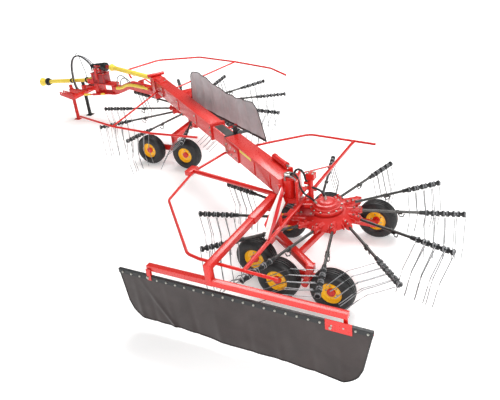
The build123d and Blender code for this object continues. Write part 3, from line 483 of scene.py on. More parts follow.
# Bells and gearboxes
# Cast iron under red enamel. The bell turns and carries a ring of sockets, each pinched on its
# arm by two bolts. The gearbox above it stands still: a stepped dome with a ring of bolts.


def cast_enamel():
    """Enamel over a sand casting: a coarser skin than on rolled plate."""
    grain_mm = 9
    patch_mm = 200
    material = new_material("red_enamel_on_cast_iron")
    place = add(material, "ShaderNodeTexCoord", {}).outputs["Object"]
    patches = add(material, "ShaderNodeTexNoise", {"Vector": place, "Scale": 1000 / patch_mm, "Detail": 6})
    tone = add(material, "ShaderNodeMix", {
        0: patches.outputs["Fac"], 6: linear("#dc2a20"), 7: linear("#b31a19")}, data_type="RGBA")
    grain = add(material, "ShaderNodeTexNoise", {"Vector": place, "Scale": 1000 / grain_mm, "Detail": 4})
    rough = add(material, "ShaderNodeMapRange", {
        "Value": grain.outputs["Fac"], "From Min": 0.3, "From Max": 0.7, "To Min": 0.34, "To Max": 0.5})
    relief = add(material, "ShaderNodeBump", {
        "Height": grain.outputs["Fac"], "Strength": 0.35, "Distance": 0.0015})
    return shade(material, base_color=tone.outputs[2], roughness=rough.outputs[0],
                 normal=relief.outputs[0], coat_weight=0.35, coat_roughness=0.2)


cast_red = cast_enamel()


def zinc_bolts():
    """Electroplated bolt heads: pale and even, with a faint yellow cast."""
    cloud_mm = 12.5
    material = new_material("zinc_plated_bolt")
    place = add(material, "ShaderNodeTexCoord", {}).outputs["Object"]
    cloud = add(material, "ShaderNodeTexNoise", {"Vector": place, "Scale": 1000 / cloud_mm, "Detail": 3})
    tone = add(material, "ShaderNodeMix", {
        0: cloud.outputs["Fac"], 6: linear("#9b9a92"), 7: linear("#c6c5bd")}, data_type="RGBA")
    return shade(material, base_color=tone.outputs[2], metallic=0.9, roughness=0.33)


bolt_zinc = zinc_bolts()


def spun(bm, profile, steps, matrix):
    """A shape of revolution: a profile of radius and height pairs, spun round the matrix's Z. A
    closed section ends on its first point."""
    others = set(bm.verts)
    verts = [bm.verts.new((radius, 0, height)) for radius, height in profile]
    edges = [bm.edges.new(pair) for pair in zip(verts, verts[1:])]
    bmesh.ops.spin(bm, geom=verts + edges, axis=(0, 0, 1), cent=(0, 0, 0), angle=2 * pi, steps=steps,
                   use_merge=True)
    made = [vert for vert in bm.verts if vert not in others]
    bmesh.ops.remove_doubles(bm, verts=made, dist=weld_distance)
    bmesh.ops.transform(bm, matrix=matrix, verts=[vert for vert in made if vert.is_valid])


def bolt_head(size):
    """A hexagon head with its washer, seen along Z. The size is the head's radius."""
    bm = bmesh.new()
    drum(bm, size * 1.15, size * 0.2, Matrix.Translation((0, 0, size * 0.1)), 16)
    drum(bm, size, size * 0.8, Matrix.Translation((0, 0, size * 0.55)), 6, size * 0.08)
    return to_mesh(bm)


def bolt_group(name, head, matrices, body):
    """Like bolt heads, one at each matrix, as one piece."""
    scattered(name, [(head, matrix) for matrix in matrices], bolt_zinc, body)


bell_profile = ((0.075, 0.664), (0.300, 0.664), (0.326, 0.672), (0.328, 0.686), (0.310, 0.704),
                (0.262, 0.728), (0.222, 0.760), (0.212, 0.770), (0.075, 0.770), (0.075, 0.664))
dome_profile = ((0, 0.780), (0.188, 0.780), (0.190, 0.784), (0.190, 0.806), (0.185, 0.812),
                (0.168, 0.814), (0.164, 0.818), (0.163, 0.832), (0.158, 0.838), (0.140, 0.840),
                (0.136, 0.844), (0.134, 0.862), (0.128, 0.868), (0.104, 0.872), (0.092, 0.884),
                (0.072, 0.892), (0.050, 0.894), (0, 0.894))
socket_start = 0.19
socket_radius = 0.034
# Two collars on each socket, each with a lug over it that takes a pinch bolt
collar_places = (0.30, 0.365)
collar_wall = 0.006
collar_length = 0.018
lug_size = (0.03, 0.022, 0.03)
pinch_bolt_rise = 0.008
# A rib stands upright beside each socket
rib_size = (0.14, 0.012, 0.05)
rib_place = (0.28, -0.052, -0.014)
cover_bolt_count = 12
cover_bolt_ring = 0.176
cover_boss_radius = 0.012
cover_boss_height = 0.02
cover_boss_top = 0.818
hub_bolt = bolt_head(0.011)
for rotor in ("rear", "front"):
    middle = Vector((centre[rotor].x, centre[rotor].y, 0))
    bm = bmesh.new()
    spun(bm, bell_profile, 96, Matrix.Identity(4))
    pinch_bolts = []
    for arm in arm_matrices(rotor):
        turn = Matrix.Translation(-middle) @ arm
        length = socket_reach - socket_start
        drum(bm, socket_radius, length,
             turn @ z_to_x @ Matrix.Translation((0, 0, socket_start + length / 2)), 20, 0.004)
        for out in collar_places:
            drum(bm, socket_radius + collar_wall, collar_length,
                 turn @ z_to_x @ Matrix.Translation((0, 0, out)), 20, 0.003)
            lump(bm, lug_size, turn @ Matrix.Translation((out, 0, socket_radius + collar_wall)), 0.003)
            bolt_place = (out, -lug_size[1] / 2, socket_radius + pinch_bolt_rise)
            pinch_bolts.append(arm @ Matrix.Translation(bolt_place) @ z_to_minus_y)
        lump(bm, rib_size, turn @ Matrix.Translation(rib_place), 0.002)
    bmesh.ops.transform(bm, matrix=Matrix.Translation(middle), verts=bm.verts)
    bell = make_piece(rotor + "_bell", bm, cast_red, rotor + "_rotor")
    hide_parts(rotor + "_hub")
    bolt_group(rotor + "_socket_bolts", hub_bolt, pinch_bolts, rotor + "_rotor")
    bm = bmesh.new()
    spun(bm, dome_profile, 96, Matrix.Identity(4))
    cover_bolts = []
    for number in range(cover_bolt_count):
        turn = Matrix.Rotation(2 * pi / cover_bolt_count * number, 4, "Z")
        drum(bm, cover_boss_radius, cover_boss_height, turn @ Matrix.Translation(
            (cover_bolt_ring, 0, cover_boss_top - cover_boss_height / 2)), 12, 0.002)
        cover_bolts.append(Matrix.Translation(middle) @ turn
                           @ Matrix.Translation((cover_bolt_ring, 0, cover_boss_top)))
    bmesh.ops.transform(bm, matrix=Matrix.Translation(middle), verts=bm.verts)
    carried_by = "rear_unit" if rotor == "rear" else "frame"
    dome = make_piece(rotor + "_gearbox_dome", bm, cast_red, carried_by)
    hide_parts(rotor + "_gearbox")
    bolt_group(rotor + "_cover_bolts", hub_bolt, cover_bolts, carried_by)

# Beam mouth, clamp and fittings
# Small steel plates and pads, welded to the red tubes or held by nuts: the collar at the mouth, a
# bare wear strip, the black strap that carries the curtain's rail, and the swing cylinder.
beam_back = Vector(joints["beam_extend"]["axis"])
beam_right = Vector((-beam_back.y, beam_back.x, 0))
yaw_place = Vector(joints["rear_yaw"]["pos_m"])
# Along the beam, places are distances behind the post, and beam_end is that of the yaw axis
beam_end = 4.95
beam_middle = 1.05


def on_beam(distance, side, rise):
    """A place behind the post along the beam, side to its right and rise over its middle."""
    place = yaw_place + beam_back * (distance - beam_end) + beam_right * side
    place.z = beam_middle + rise
    return place


def beam_turn(distance, side, rise):
    """The beam's own axes at a place: X back along it, Y to its right, Z up."""
    axes = Matrix((beam_back, beam_right, Vector((0, 0, 1)))).transposed().to_4x4()
    return Matrix.Translation(on_beam(distance, side, rise)) @ axes


def beam_blocks(bm, rows):
    """Blocks in line with the beam, from rows of size, distance, side, rise and edge."""
    for size, distance, side, rise, edge in rows:
        lump(bm, size, beam_turn(distance, side, rise), edge)


# Distances behind the post: the collar at the mouth, the plates at the post, the side plates
mouth = 2.845
root = 0.17
plate_places = (0.62, 1.42, 2.22)
collar_side = 0.1065
collar_rise = 0.1115
bm = bmesh.new()
for side in (-1, 1):
    beam_blocks(bm, (
        ((0.055, 0.012, 0.238), mouth, side * collar_side, 0, 0.003),
        ((0.055, 0.225, 0.012), mouth, 0, side * collar_rise, 0.003),
        ((0.10, 0.012, 0.21), root, side * collar_side, 0, 0.003)))
beam_blocks(bm, [((0.09, 0.010, 0.16), distance, -0.105, 0, 0.002) for distance in plate_places])
beam_blocks(bm, [((0.30, 0.12, 0.010), 0.28, 0, 0.110, 0.002)])
make_piece("beam_collar", bm, red_enamel, "frame")
beam_nut = bolt_head(0.012)
side_nuts = [beam_turn(distance, -0.110, rise) @ z_to_minus_y
             for distance in plate_places for rise in (-0.055, 0.055)]
mouth_nuts = [beam_turn(mouth, -0.1125, rise) @ z_to_minus_y for rise in (-0.07, 0, 0.07)]
top_nuts = [beam_turn(distance, 0.035, 0.115) for distance in (root, 0.39)]
bolt_group("beam_bolts", beam_nut, side_nuts + mouth_nuts + top_nuts, "frame")

bm = bmesh.new()
beam_blocks(bm, [((0.47, 0.13, 0.003), 3.135, 0, 0.0915, 0.001)])
make_piece("inner_beam_wear_strip", bm, zinc, "beam_slide")
strap = 3.36
bm = bmesh.new()
beam_blocks(bm, (
    ((0.055, 0.196, 0.012), strap, 0, 0.097, 0.003),
    ((0.055, 0.012, 0.20), strap, -0.092, 0.003, 0.003),
    ((0.055, 0.012, 0.20), strap, 0.092, 0.003, 0.003),
    ((0.05, 0.05, 0.11), 3.33, 0.070, 0.15, 0.006),
    ((0.09, 0.16, 0.012), 3.35, 0.155, 0.10, 0.003)))
make_piece("rail_strap", bm, black, "beam_slide")

# The swing cylinder lies over the beam's right edge: side and rise of its line
swing_line = (0.11, 0.145)


def beam_rod(bm, start, end, radius, sides):
    """A round bar on the swing cylinder's line, from one distance along the beam to another."""
    sweep(bm, [on_beam(start, *swing_line), on_beam(end, *swing_line)], radius, sides)


bm = bmesh.new()
beam_blocks(bm, (
    ((0.012, 0.012, 0.17), 4.70, -0.115, 0, 0.002),
    ((0.012, 0.012, 0.17), 4.28, -0.115, 0, 0.002),
    ((0.05, 0.05, 0.05), 4.415, 0.10, 0.120, 0.005),
    ((0.04, 0.05, 0.07), 4.82, 0.10, 0.130, 0.005)))
drum(bm, 0.036, 0.030, beam_turn(4.93, -0.118, 0.03) @ z_to_minus_y, 24, 0.004)
make_piece("rear_beam_welds", bm, red_enamel, "beam_slide")
bm = bmesh.new()
beam_rod(bm, 4.42, 4.70, 0.034, 24)
beam_rod(bm, 4.40, 4.43, 0.039, 24)
beam_rod(bm, 4.68, 4.71, 0.039, 24)
make_piece("swing_cylinder", bm, red_enamel, "beam_slide")
bm = bmesh.new()
beam_rod(bm, 4.70, 4.82, 0.016, 16)
make_piece("swing_cylinder_rod", bm, bolt_zinc, "beam_slide")
knee_nuts = [beam_turn(distance, -0.131, rise) @ z_to_minus_y
             for distance in (3.47, 3.61, 3.75) for rise in (-0.06, 0.04)]
bolt_group("knee_bolts", beam_nut, knee_nuts, "beam_slide")


def moulded_plastic():
    """Blow-moulded polyethylene: yellow, slightly waxy, scuffed paler."""
    scuff_mm = 55.6
    material = new_material("yellow_polyethylene")
    place = add(material, "ShaderNodeTexCoord", {}).outputs["Object"]
    scuff = add(material, "ShaderNodeTexNoise", {
        "Vector": place, "Scale": 1000 / scuff_mm, "Detail": 7, "Roughness": 0.65})
    tone = add(material, "ShaderNodeMix", {
        0: scuff.outputs["Fac"], 6: linear("#f0cf2a"), 7: linear("#f4dc6a")}, data_type="RGBA")
    relief = add(material, "ShaderNodeBump", {
        "Height": scuff.outputs["Fac"], "Strength": 0.2, "Distance": 0.001})
    return shade(material, base_color=tone.outputs[2], roughness=0.42, normal=relief.outputs[0])


yellow_plastic = moulded_plastic()
bm = bmesh.new()
beam_blocks(bm, [((0.34, 0.003, 0.034), 4.02, -0.1115, 0.078, 0.001)])
make_piece("side_marker_strip", bm, yellow_plastic, "beam_slide")

# Hoses and cables
# Rubber hydraulic hoses with crimped steel ends, and grey sheathed cables. Each is held at both
# its ends by a union or a clip.


def hose_rubber():
    """Wrapped rubber cover: satin black with the fine marks of the cloth it was cured in."""
    wrap_mm = 4
    material = new_material("wrapped_hose_rubber")
    place = add(material, "ShaderNodeTexCoord", {}).outputs["Object"]
    wrap = add(material, "ShaderNodeTexNoise", {"Vector": place, "Scale": 1000 / wrap_mm, "Detail": 3})
    tone = add(material, "ShaderNodeMix", {
        0: wrap.outputs["Fac"], 6: linear("#121314"), 7: linear("#2a2b2c")}, data_type="RGBA")
    relief = add(material, "ShaderNodeBump", {
        "Height": wrap.outputs["Fac"], "Strength": 0.2, "Distance": 0.0004})
    return shade(material, base_color=tone.outputs[2], roughness=0.45, normal=relief.outputs[0])


def cable_sheath():
    """Grey PVC sheath, even and a little dusty."""
    dust_mm = 20
    material = new_material("grey_pvc_sheath")
    place = add(material, "ShaderNodeTexCoord", {}).outputs["Object"]
    dust = add(material, "ShaderNodeTexNoise", {"Vector": place, "Scale": 1000 / dust_mm, "Detail": 5})
    tone = add(material, "ShaderNodeMix", {
        0: dust.outputs["Fac"], 6: linear("#77787c"), 7: linear("#9fa0a4")}, data_type="RGBA")
    return shade(material, base_color=tone.outputs[2], roughness=0.55)


rubber_hose = hose_rubber()
grey_sheath = cable_sheath()


def smooth_line(route):
    """Points along a smooth curve whose control points are the route."""
    curve = bpy.data.curves.new("route", "CURVE")
    curve.dimensions = "3D"
    spline = curve.splines.new("NURBS")
    spline.points.add(len(route) - 1)
    for point, place in zip(spline.points, route):
        point.co = (*place, 1)
    spline.order_u = 3
    spline.use_endpoint_u = True
    spline.resolution_u = 8
    holder = bpy.data.objects.new("route", curve)
    mesh = bpy.data.meshes.new_from_object(holder)
    points = [vert.co.copy() for vert in mesh.vertices]
    bpy.data.objects.remove(holder)
    bpy.data.meshes.remove(mesh)
    bpy.data.curves.remove(curve)
    return points


def held_line(name, route, radius, material, body):
    """A hose or cable that is held at both its ends, with a crimped union at each."""
    points = smooth_line([spot(*place) for place in route])
    bm = bmesh.new()
    sweep(bm, points, radius, 10)
    make_piece(name, bm, material, body, 60)
    bm = bmesh.new()
    crimp = 3.5 * radius
    for end, inner in ((points[0], points[1]), (points[-1], points[-2])):
        way = (inner - end).normalized()
        sweep(bm, [end, end + way * crimp], radius * 1.35, 6)
    make_piece(name + "_unions", bm, bolt_zinc, body)


hose_radius = 0.013
thin_hose_radius = 0.011
cable_radius = 0.009
pipe_radius = 0.007
held_line("head_hose_long", (
    (0.335, 0.10, 1.19), (0.325, 0.10, 1.255), (0.27, 0.09, 1.29), (0.215, 0.08, 1.235), (0.205, 0.07, 1.13),
    (0.15, 0.06, 1.06), (0.08, 0.03, 1.03), (0.03, 0.0, 0.98), (0.01, -0.01, 0.893)),
    hose_radius, rubber_hose, "rear_unit")
held_line("head_hose_short", (
    (0.36, 0.15, 1.19), (0.355, 0.155, 1.235), (0.31, 0.15, 1.26), (0.265, 0.14, 1.20), (0.255, 0.13, 1.08),
    (0.21, 0.11, 0.98), (0.14, 0.09, 0.94), (0.09, 0.07, 0.872)),
    thin_hose_radius, rubber_hose, "rear_unit")
held_line("head_pipe", (
    (0.40, 0.19, 1.17), (0.40, 0.22, 1.23), (0.34, 0.24, 1.27), (0.27, 0.22, 1.23), (0.262, 0.18, 1.15),
    (0.262, 0.155, 1.06)), pipe_radius, grey_sheath, "rear_unit")
neck_route = ((5.62, -3.24, 0.765), (5.58, -3.20, 0.93), (5.45, -3.17, 1.03), (5.30, -3.14, 1.00),
              (5.22, -3.11, 0.90), (5.18, -3.10, 0.835))
held_line("neck_cable_high", neck_route, cable_radius, grey_sheath, "frame")
# The second cable keeps beside the first and hangs a little lower between its ends
neck_last = len(neck_route) - 1
neck_route_low = [(x - 0.10, y + 0.03, z - 0.035 * (0 < i < neck_last))
                  for i, (x, y, z) in enumerate(neck_route)]
held_line("neck_cable_low", neck_route_low, cable_radius, grey_sheath, "frame")

# Rear head fittings
# A dark pressed shield covers the bell's sector under the beam, where the bell lies in shade;
# its deep red is painted shade. A clamp bar holds the cross tube, a thin stay props it, and a
# valve block stands on the housing.


def blocks(bm, rows):
    """Blocks in line with the ground's axes, from rows of size, place and edge."""
    for size, place, edge in rows:
        lump(bm, size, Matrix.Translation(spot(*place)), edge)


shield_outline = ((0.055, 0.235), (0.20, 0.262), (0.292, 0.195), (0.276, -0.20), (0.215, -0.13),
                  (0.15, -0.10), (0.10, 0.0), (0.09, 0.12))
shield_underside = 0.797
shield_thickness = 0.010
bm = bmesh.new()
face = bm.faces.new([bm.verts.new(spot(x, y, shield_underside)) for x, y in shield_outline])
made = bmesh.ops.extrude_face_region(bm, geom=[face])["geom"]
bmesh.ops.translate(bm, vec=(0, 0, shield_thickness),
                    verts=[item for item in made if isinstance(item, bmesh.types.BMVert)])
blocks(bm, [((0.06, 0.06, 0.05), (0.25, 0.10, 0.825), 0.004)])
# The shield's deep red is painted shade: it stands for the shadow on the bell under the beam
make_piece("rear_shade_shield", bm, deep_red_enamel_and_painted_shade, "rear_unit")

valve_x, valve_y, valve_z = (0.155, 0.035, 1.19)
valve_size = (0.10, 0.085, 0.075)
bm = bmesh.new()
blocks(bm, (
    ((0.050, 0.30, 0.022), (0.300, -0.02, 0.934), 0.003),
    ((0.20, 0.045, 0.014), (0.262, -0.13, 0.927), 0.003),
    (valve_size, (valve_x, valve_y, valve_z), 0.006),
    ((0.05, 0.14, 0.030), (0.20, 0.02, 1.115), 0.004)))
sweep(bm, [spot(0.285, -0.06, 1.165), spot(0.236, -0.80, 0.915)], 0.010, 12)
sweep(bm, [spot(0.16, 0.045, 0.90), spot(0.16, 0.045, 1.15)], 0.030, 20)
make_piece("rear_clamp_bar", bm, red_enamel, "rear_unit")
clamp_bolts = [(0.300, y, 0.945) for y in (-0.14, -0.02, 0.10)]
valve_bolts = [(valve_x + dx, valve_y + dy, valve_z + valve_size[2] / 2)
               for dx in (-0.03, 0.03) for dy in (-0.025, 0.025)]
shield_bolts = [(x, y, shield_underside + shield_thickness)
                for x, y in ((0.22, 0.21), (0.25, -0.14), (0.10, 0.21))]
head_bolts = [Matrix.Translation(spot(*place)) for place in clamp_bolts + valve_bolts + shield_bolts]
bolt_group("rear_head_bolts", beam_nut, head_bolts, "rear_unit")
bm = bmesh.new()
drum(bm, 0.052, 0.022, Matrix.Translation((yaw_place.x, yaw_place.y, 1.209)), 32, 0.005)
drum(bm, 0.020, 0.018, Matrix.Translation((yaw_place.x, yaw_place.y, 1.229)), 6, 0.002)
make_piece("yaw_pin_cap", bm, bolt_zinc, "rear_unit")

# Tyres
# Wide low-pressure implement tyres, vulcanised rubber: a ribbed tread with four grooves and two
# raised rings on each wall.


def rubber():
    """Vulcanised rubber: near black and dull, with dry dust on the walls."""
    dust_mm = 30
    material = new_material("vulcanised_rubber")
    place = add(material, "ShaderNodeTexCoord", {}).outputs["Object"]
    dust = add(material, "ShaderNodeTexNoise", {
        "Vector": place, "Scale": 1000 / dust_mm, "Detail": 8, "Roughness": 0.65})
    amount = add(material, "ShaderNodeMapRange", {
        "Value": dust.outputs["Fac"], "From Min": 0.45, "From Max": 0.8, "To Min": 0, "To Max": 0.35})
    tone = add(material, "ShaderNodeMix", {
        0: amount.outputs[0], 6: linear("#17181a"), 7: linear("#4d4a46")}, data_type="RGBA")
    relief = add(material, "ShaderNodeBump", {
        "Height": dust.outputs["Fac"], "Strength": 0.25, "Distance": 0.001})
    return shade(material, base_color=tone.outputs[2], roughness=0.52, normal=relief.outputs[0],
                 specular_ior_level=0.5)


tyre_rubber = rubber()
# Half of the section, from the middle of the tread to the bead: radius and half width
tread_profile = (
    (0.2500, 0), (0.2500, 0.010), (0.2390, 0.013), (0.2390, 0.019), (0.2490, 0.022), (0.2475, 0.037),
    (0.2370, 0.040), (0.2365, 0.046), (0.2458, 0.049), (0.2425, 0.060), (0.2350, 0.071), (0.2230, 0.082),
    (0.2080, 0.0905), (0.2010, 0.0925), (0.1970, 0.0922), (0.1860, 0.0945), (0.1780, 0.0945),
    (0.1640, 0.0915), (0.1580, 0.0910), (0.1480, 0.0850), (0.1390, 0.0770), (0.1275, 0.0730),
    (0.1255, 0.0640))
tyre_section = [(radius, -out) for radius, out in reversed(tread_profile)] + list(tread_profile[1:])
wheel_names = sorted(node[5:] for node in frame["nodes"] if node.startswith("tyre_"))
for name in wheel_names:
    bm = bmesh.new()
    spun(bm, tyre_section, 72, Matrix.Translation(Vector(joints[name + "_spin"]["pos_m"])) @ z_to_minus_y)
    tyre = make_piece("tread_" + name, bm, tyre_rubber, "wheel_" + name, 50)
    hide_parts("tyre_" + name)

# Rims
# Pressed steel discs in orange-yellow enamel, dished from both sides and held by five nuts. A
# round red cap closes the hub on each side.
rim_enamel = enamel("orange_yellow_enamel", "#ffd032", "#fdbd22", 0.26, 0.4)
# The outer half of the section, from the bead's seat inwards: radius and distance from the middle
rim_profile = (
    (0.1248, 0.072), (0.1250, 0.067), (0.1215, 0.061), (0.1175, 0.054), (0.1140, 0.036), (0.1050, 0.023),
    (0.0880, 0.020), (0.0770, 0.027), (0.0560, 0.031), (0.0540, 0.034), (0.0460, 0.035), (0.0450, 0.058),
    (0.0410, 0.0615), (0.0260, 0.062))
rim_section = list(rim_profile) + [(radius, -out) for radius, out in reversed(rim_profile)]
rim_section.append(rim_section[0])
cap_radius = 0.048
cap_depth = 0.030
cap_out = 0.0505
nut_ring = 0.066
nut_out = 0.028
nut_count = 5
nut = bolt_head(0.009)
for name in wheel_names:
    rest = Matrix.Translation(Vector(joints[name + "_spin"]["pos_m"])) @ z_to_minus_y
    bm = bmesh.new()
    spun(bm, rim_section, 64, rest)
    disc = make_piece("disc_" + name, bm, rim_enamel, "wheel_" + name)
    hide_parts("rim_" + name)
    bm = bmesh.new()
    for side in (-1, 1):
        drum(bm, cap_radius, cap_depth, rest @ Matrix.Translation((0, 0, side * cap_out)), 32, 0.005)
    make_piece("hub_cap_" + name, bm, red_enamel, "wheel_" + name)
    nuts = []
    for side in (0, pi):
        for number in range(nut_count):
            turn = Matrix.Rotation(2 * pi / nut_count * number, 4, "Z") @ Matrix.Rotation(side, 4, "X")
            nuts.append(rest @ turn @ Matrix.Translation((nut_ring, 0, nut_out)))
    bolt_group("nuts_" + name, nut, nuts, "wheel_" + name)

# Swath curtain and middle curtain
# PVC-coated polyester cloth. The dark one hangs from a clamp strip and is stiff, so it falls in a
# few broad waves. The grey one stands upright on its rail, laid in folds that fan out upwards.


def coated_cloth(name, colour, shine):
    """Coated tarpaulin: a plain weave that shows through the coat, and scuffed lighter patches.
    The threads are drawn far coarser than the real ones, so that they show."""
    thread_mm = 18.85
    scuff_mm = 260
    # What the wave texture gives at a scale of 1
    bands_per_metre = 20 / (2 * pi)
    material = new_material(name)
    place = add(material, "ShaderNodeUVMap", {}, uv_map="cloth").outputs["UV"]
    wave = {"Vector": place, "Scale": 1000 / thread_mm / bands_per_metre, "Distortion": 0.4}
    weft = add(material, "ShaderNodeTexWave", wave, bands_direction="X")
    warp = add(material, "ShaderNodeTexWave", wave, bands_direction="Y")
    weave = add(material, "ShaderNodeMath", {0: weft.outputs["Fac"], 1: warp.outputs["Fac"]},
                operation="MULTIPLY")
    scuff = add(material, "ShaderNodeTexNoise", {
        "Vector": place, "Scale": 1000 / scuff_mm, "Detail": 9, "Roughness": 0.6, "Distortion": 0.6})
    amount = add(material, "ShaderNodeMapRange", {
        "Value": scuff.outputs["Fac"], "From Min": 0.38, "From Max": 0.72, "To Min": 0, "To Max": 1})
    tone = add(material, "ShaderNodeMix", {
        0: amount.outputs[0], 6: linear(colour), 7: linear(shine)}, data_type="RGBA")
    relief = add(material, "ShaderNodeBump", {
        "Height": weave.outputs[0], "Strength": 0.3, "Distance": 0.0006})
    return shade(material, base_color=tone.outputs[2], roughness=0.5, normal=relief.outputs[0],
                 sheen_weight=0.25, sheen_roughness=0.5, specular_ior_level=0.35)


dark_cloth = coated_cloth("grey_brown_coated_cloth", "#2c2221", "#3a302f")
grey_cloth = coated_cloth("grey_coated_cloth", "#a2a2a4", "#bcbbbd")


cloth_thickness = 0.003
rope_radius = 0.006


def cloth_piece(name, corner, run, rise, outline, waves, columns, rows, material, body):
    """A sheet from one low corner: run and rise are its two edges in full size, outline gives the
    share of each at a unit point, waves gives how far it stands out of its plane."""
    bm = bmesh.new()
    flat = bm.loops.layers.uv.new("cloth")
    bmesh.ops.create_grid(bm, x_segments=columns, y_segments=rows, size=0.5)
    out = run.cross(rise).normalized()
    shares = {}
    for vert in bm.verts:
        across, high = outline(vert.co.x + 0.5, vert.co.y + 0.5)
        shares[vert] = (across, high)
        vert.co = corner + run * across + rise * high + out * waves(across, high)
    for face in bm.faces:
        for loop in face.loops:
            across, high = shares[loop.vert]
            loop[flat].uv = (across * run.length, high * rise.length)
    bmesh.ops.recalc_face_normals(bm, faces=bm.faces)
    bmesh.ops.solidify(bm, geom=bm.faces, thickness=cloth_thickness)
    return make_piece(name, bm, material, body)


def edge_rope(name, corner, run, rise, outline, waves, unit_points, body):
    """The rope that is welded into a cloth's edge, through points of the unit square."""
    bm = bmesh.new()
    out = run.cross(rise).normalized()
    points = []
    for u, v in unit_points:
        across, high = outline(u, v)
        points.append(corner + run * across + rise * high + out * waves(across, high))
    sweep(bm, points, rope_radius, 8)
    make_piece(name, bm, black, body)


def round_the_edge(steps, top):
    """Unit points down one side, along the low edge, up the other side and, if top, back along it."""
    shares = [i / steps for i in range(steps + 1)]
    loop = [(0, 1 - s) for s in shares] + [(s, 0) for s in shares[1:]] + [(1, s) for s in shares[1:]]
    return loop + [(1 - s, 1) for s in shares[1:]] if top else loop


swath_low, swath_high = [Vector(corner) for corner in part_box("swath_curtain")]
swath_corner = 0.19
swath_front_slant = 0.09
swath_back_slant = 0.13
# The low edge hangs higher at the front end than at the rear
swath_low_front = 0.045
swath_low_back = -0.03
swath_height = swath_high.z - swath_low.z
swath_length = swath_high.x - swath_low.x
swath_y = (swath_low.y + swath_high.y) / 2
# Each narrow fold: how far along it hangs and how deep it is
swath_folds = ((0.16, 0.010), (0.33, -0.007), (0.55, 0.006), (0.83, -0.006), (1.12, 0.005), (1.47, -0.005),
               (1.78, 0.006), (2.12, -0.005), (2.41, 0.007), (2.60, -0.006))
swath_fold_width = 0.035
swath_fold_drift = 0.05
# The broad waves: height and length, in metres
swath_long_wave = (0.010, 1.15)
swath_short_wave = (0.004, 0.41)
# The crease that crosses the front: its place, how far it slants, its height and width
crease_at = 0.27
crease_slant = 0.42
crease_height = 0.012
crease_width = 0.028


def swath_outline(across, high):
    """Both ends lean inwards downwards, the two low corners are rounded."""
    end = min(across, 1 - across) * swath_length
    lift = swath_low_front + (swath_low_back - swath_low_front) * across
    if end < swath_corner:
        lift += swath_corner - (swath_corner ** 2 - (swath_corner - end) ** 2) ** 0.5
    share = lift / swath_height
    risen = share + (1 - share) * high
    front = swath_front_slant * (1 - risen) / swath_length
    back = swath_back_slant * (1 - risen) / swath_length
    return front + (1 - front - back) * across, risen


def hump(off, width):
    """A smooth bump of height 1 that falls away to both sides."""
    return 2.72 ** (-(off / width) ** 2)


def swath_waves(across, high):
    """Broad faint waves, a few narrow folds from the strip down and one crease across the front."""
    free = (1 - high) ** 1.2
    x = across * swath_length
    wave = swath_long_wave[0] * sin(2 * pi * x / swath_long_wave[1] + 0.8)
    wave += swath_short_wave[0] * sin(2 * pi * x / swath_short_wave[1] + 2.0 + 1.2 * high)
    for at, depth in swath_folds:
        wave += depth * hump(x - at - swath_fold_drift * (1 - high), swath_fold_width)
    off_crease = x - crease_at - crease_slant * (0.85 - high)
    wave += crease_height * hump(off_crease, crease_width) * (high < 0.92)
    ripple = 0.004 * noise.noise(Vector((x * 4, high * 3, 0)))
    return free * wave + ripple * (0.3 + free)


swath_start = Vector((swath_high.x, swath_y, swath_low.z))
swath_run = Vector((-swath_length, 0, 0))
swath_rise = Vector((0, 0, swath_height))
swath_cloth = cloth_piece("swath_cloth", swath_start, swath_run, swath_rise, swath_outline,
                          swath_waves, 220, 36, dark_cloth, "curtain")
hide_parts("swath_curtain")
edge_rope("swath_edge_rope", swath_start, swath_run, swath_rise, swath_outline, swath_waves,
          round_the_edge(110, False), "curtain")

# The clamp strip is a folded black channel over the cloth's top edge, with a bolt each 110 mm
strip_height = 0.05
strip_wall = 0.004
bolt_pitch = 0.110
bm = bmesh.new()
strip_middle = (swath_high.x + swath_low.x) / 2
strip_front_y = swath_high.y + 0.006
strip_back_y = swath_low.y - 0.014
lump(bm, (swath_length, strip_wall, strip_height), Matrix.Translation(
    (strip_middle, strip_front_y, swath_high.z - strip_height / 2)), 0.001)
lump(bm, (swath_length, strip_front_y - strip_back_y + strip_wall, strip_wall), Matrix.Translation(
    (strip_middle, (strip_front_y + strip_back_y) / 2, swath_high.z + strip_wall / 2)), 0.001)
make_piece("swath_clamp_channel", bm, black, "curtain")
strip_bolts = []
for number in range(round(swath_length / bolt_pitch)):
    x = swath_high.x - bolt_pitch * (number + 0.5)
    strip_bolts.append(Matrix.Translation(
        (x, strip_front_y + strip_wall / 2, swath_high.z - strip_height * 0.55)) @ z_to_y)
bolt_group("swath_clamp_bolts", bolt_head(0.010), strip_bolts, "curtain")

# Two red end plates reach from the bar down over the channel, each held by one large bolt. A row
# has a plate's middle, its width and the heights of its low and high edge.
end_plates = ((-0.78, 0.25, 0.615, 0.74), (1.25, 0.05, 0.66, 0.80))
plate_y = 1.7315
plate_wall = 0.006
bm = bmesh.new()
plate_bolts = []
for x, width, low, high in end_plates:
    blocks(bm, [((width, plate_wall, high - low), (x, plate_y, (low + high) / 2), 0.002)])
    bolt_place = spot(x + width * 0.3, plate_y + plate_wall / 2, low + 0.035)
    plate_bolts.append(Matrix.Translation(bolt_place) @ z_to_y)
make_piece("swath_end_plates", bm, red_enamel, "curtain")
bolt_group("swath_end_plate_bolts", bolt_head(0.013), plate_bolts, "curtain")

# The middle curtain's two lower corners on its rail, and how far over them the cloth starts
fold_front = spot(3.15, -2.19, 0.99)
fold_back = spot(1.30, -1.12, 0.99)
fold_low = 0.0133
fold_run = fold_back - fold_front
fold_height = 0.606
# The top edge: share of the way from its front end to its back end, rise in metres
fold_top = ((0, 0.48), (0.03, 0.545), (0.066, 0.587), (0.13, 0.606), (0.214, 0.599), (0.301, 0.566),
            (0.416, 0.530), (0.510, 0.490), (0.634, 0.465), (0.789, 0.480), (0.90, 0.495), (0.96, 0.487),
            (1, 0.435))
# How far the two end edges lean inwards from the rail up to the top
fold_front_lean = 0.184
fold_back_lean = 0.141
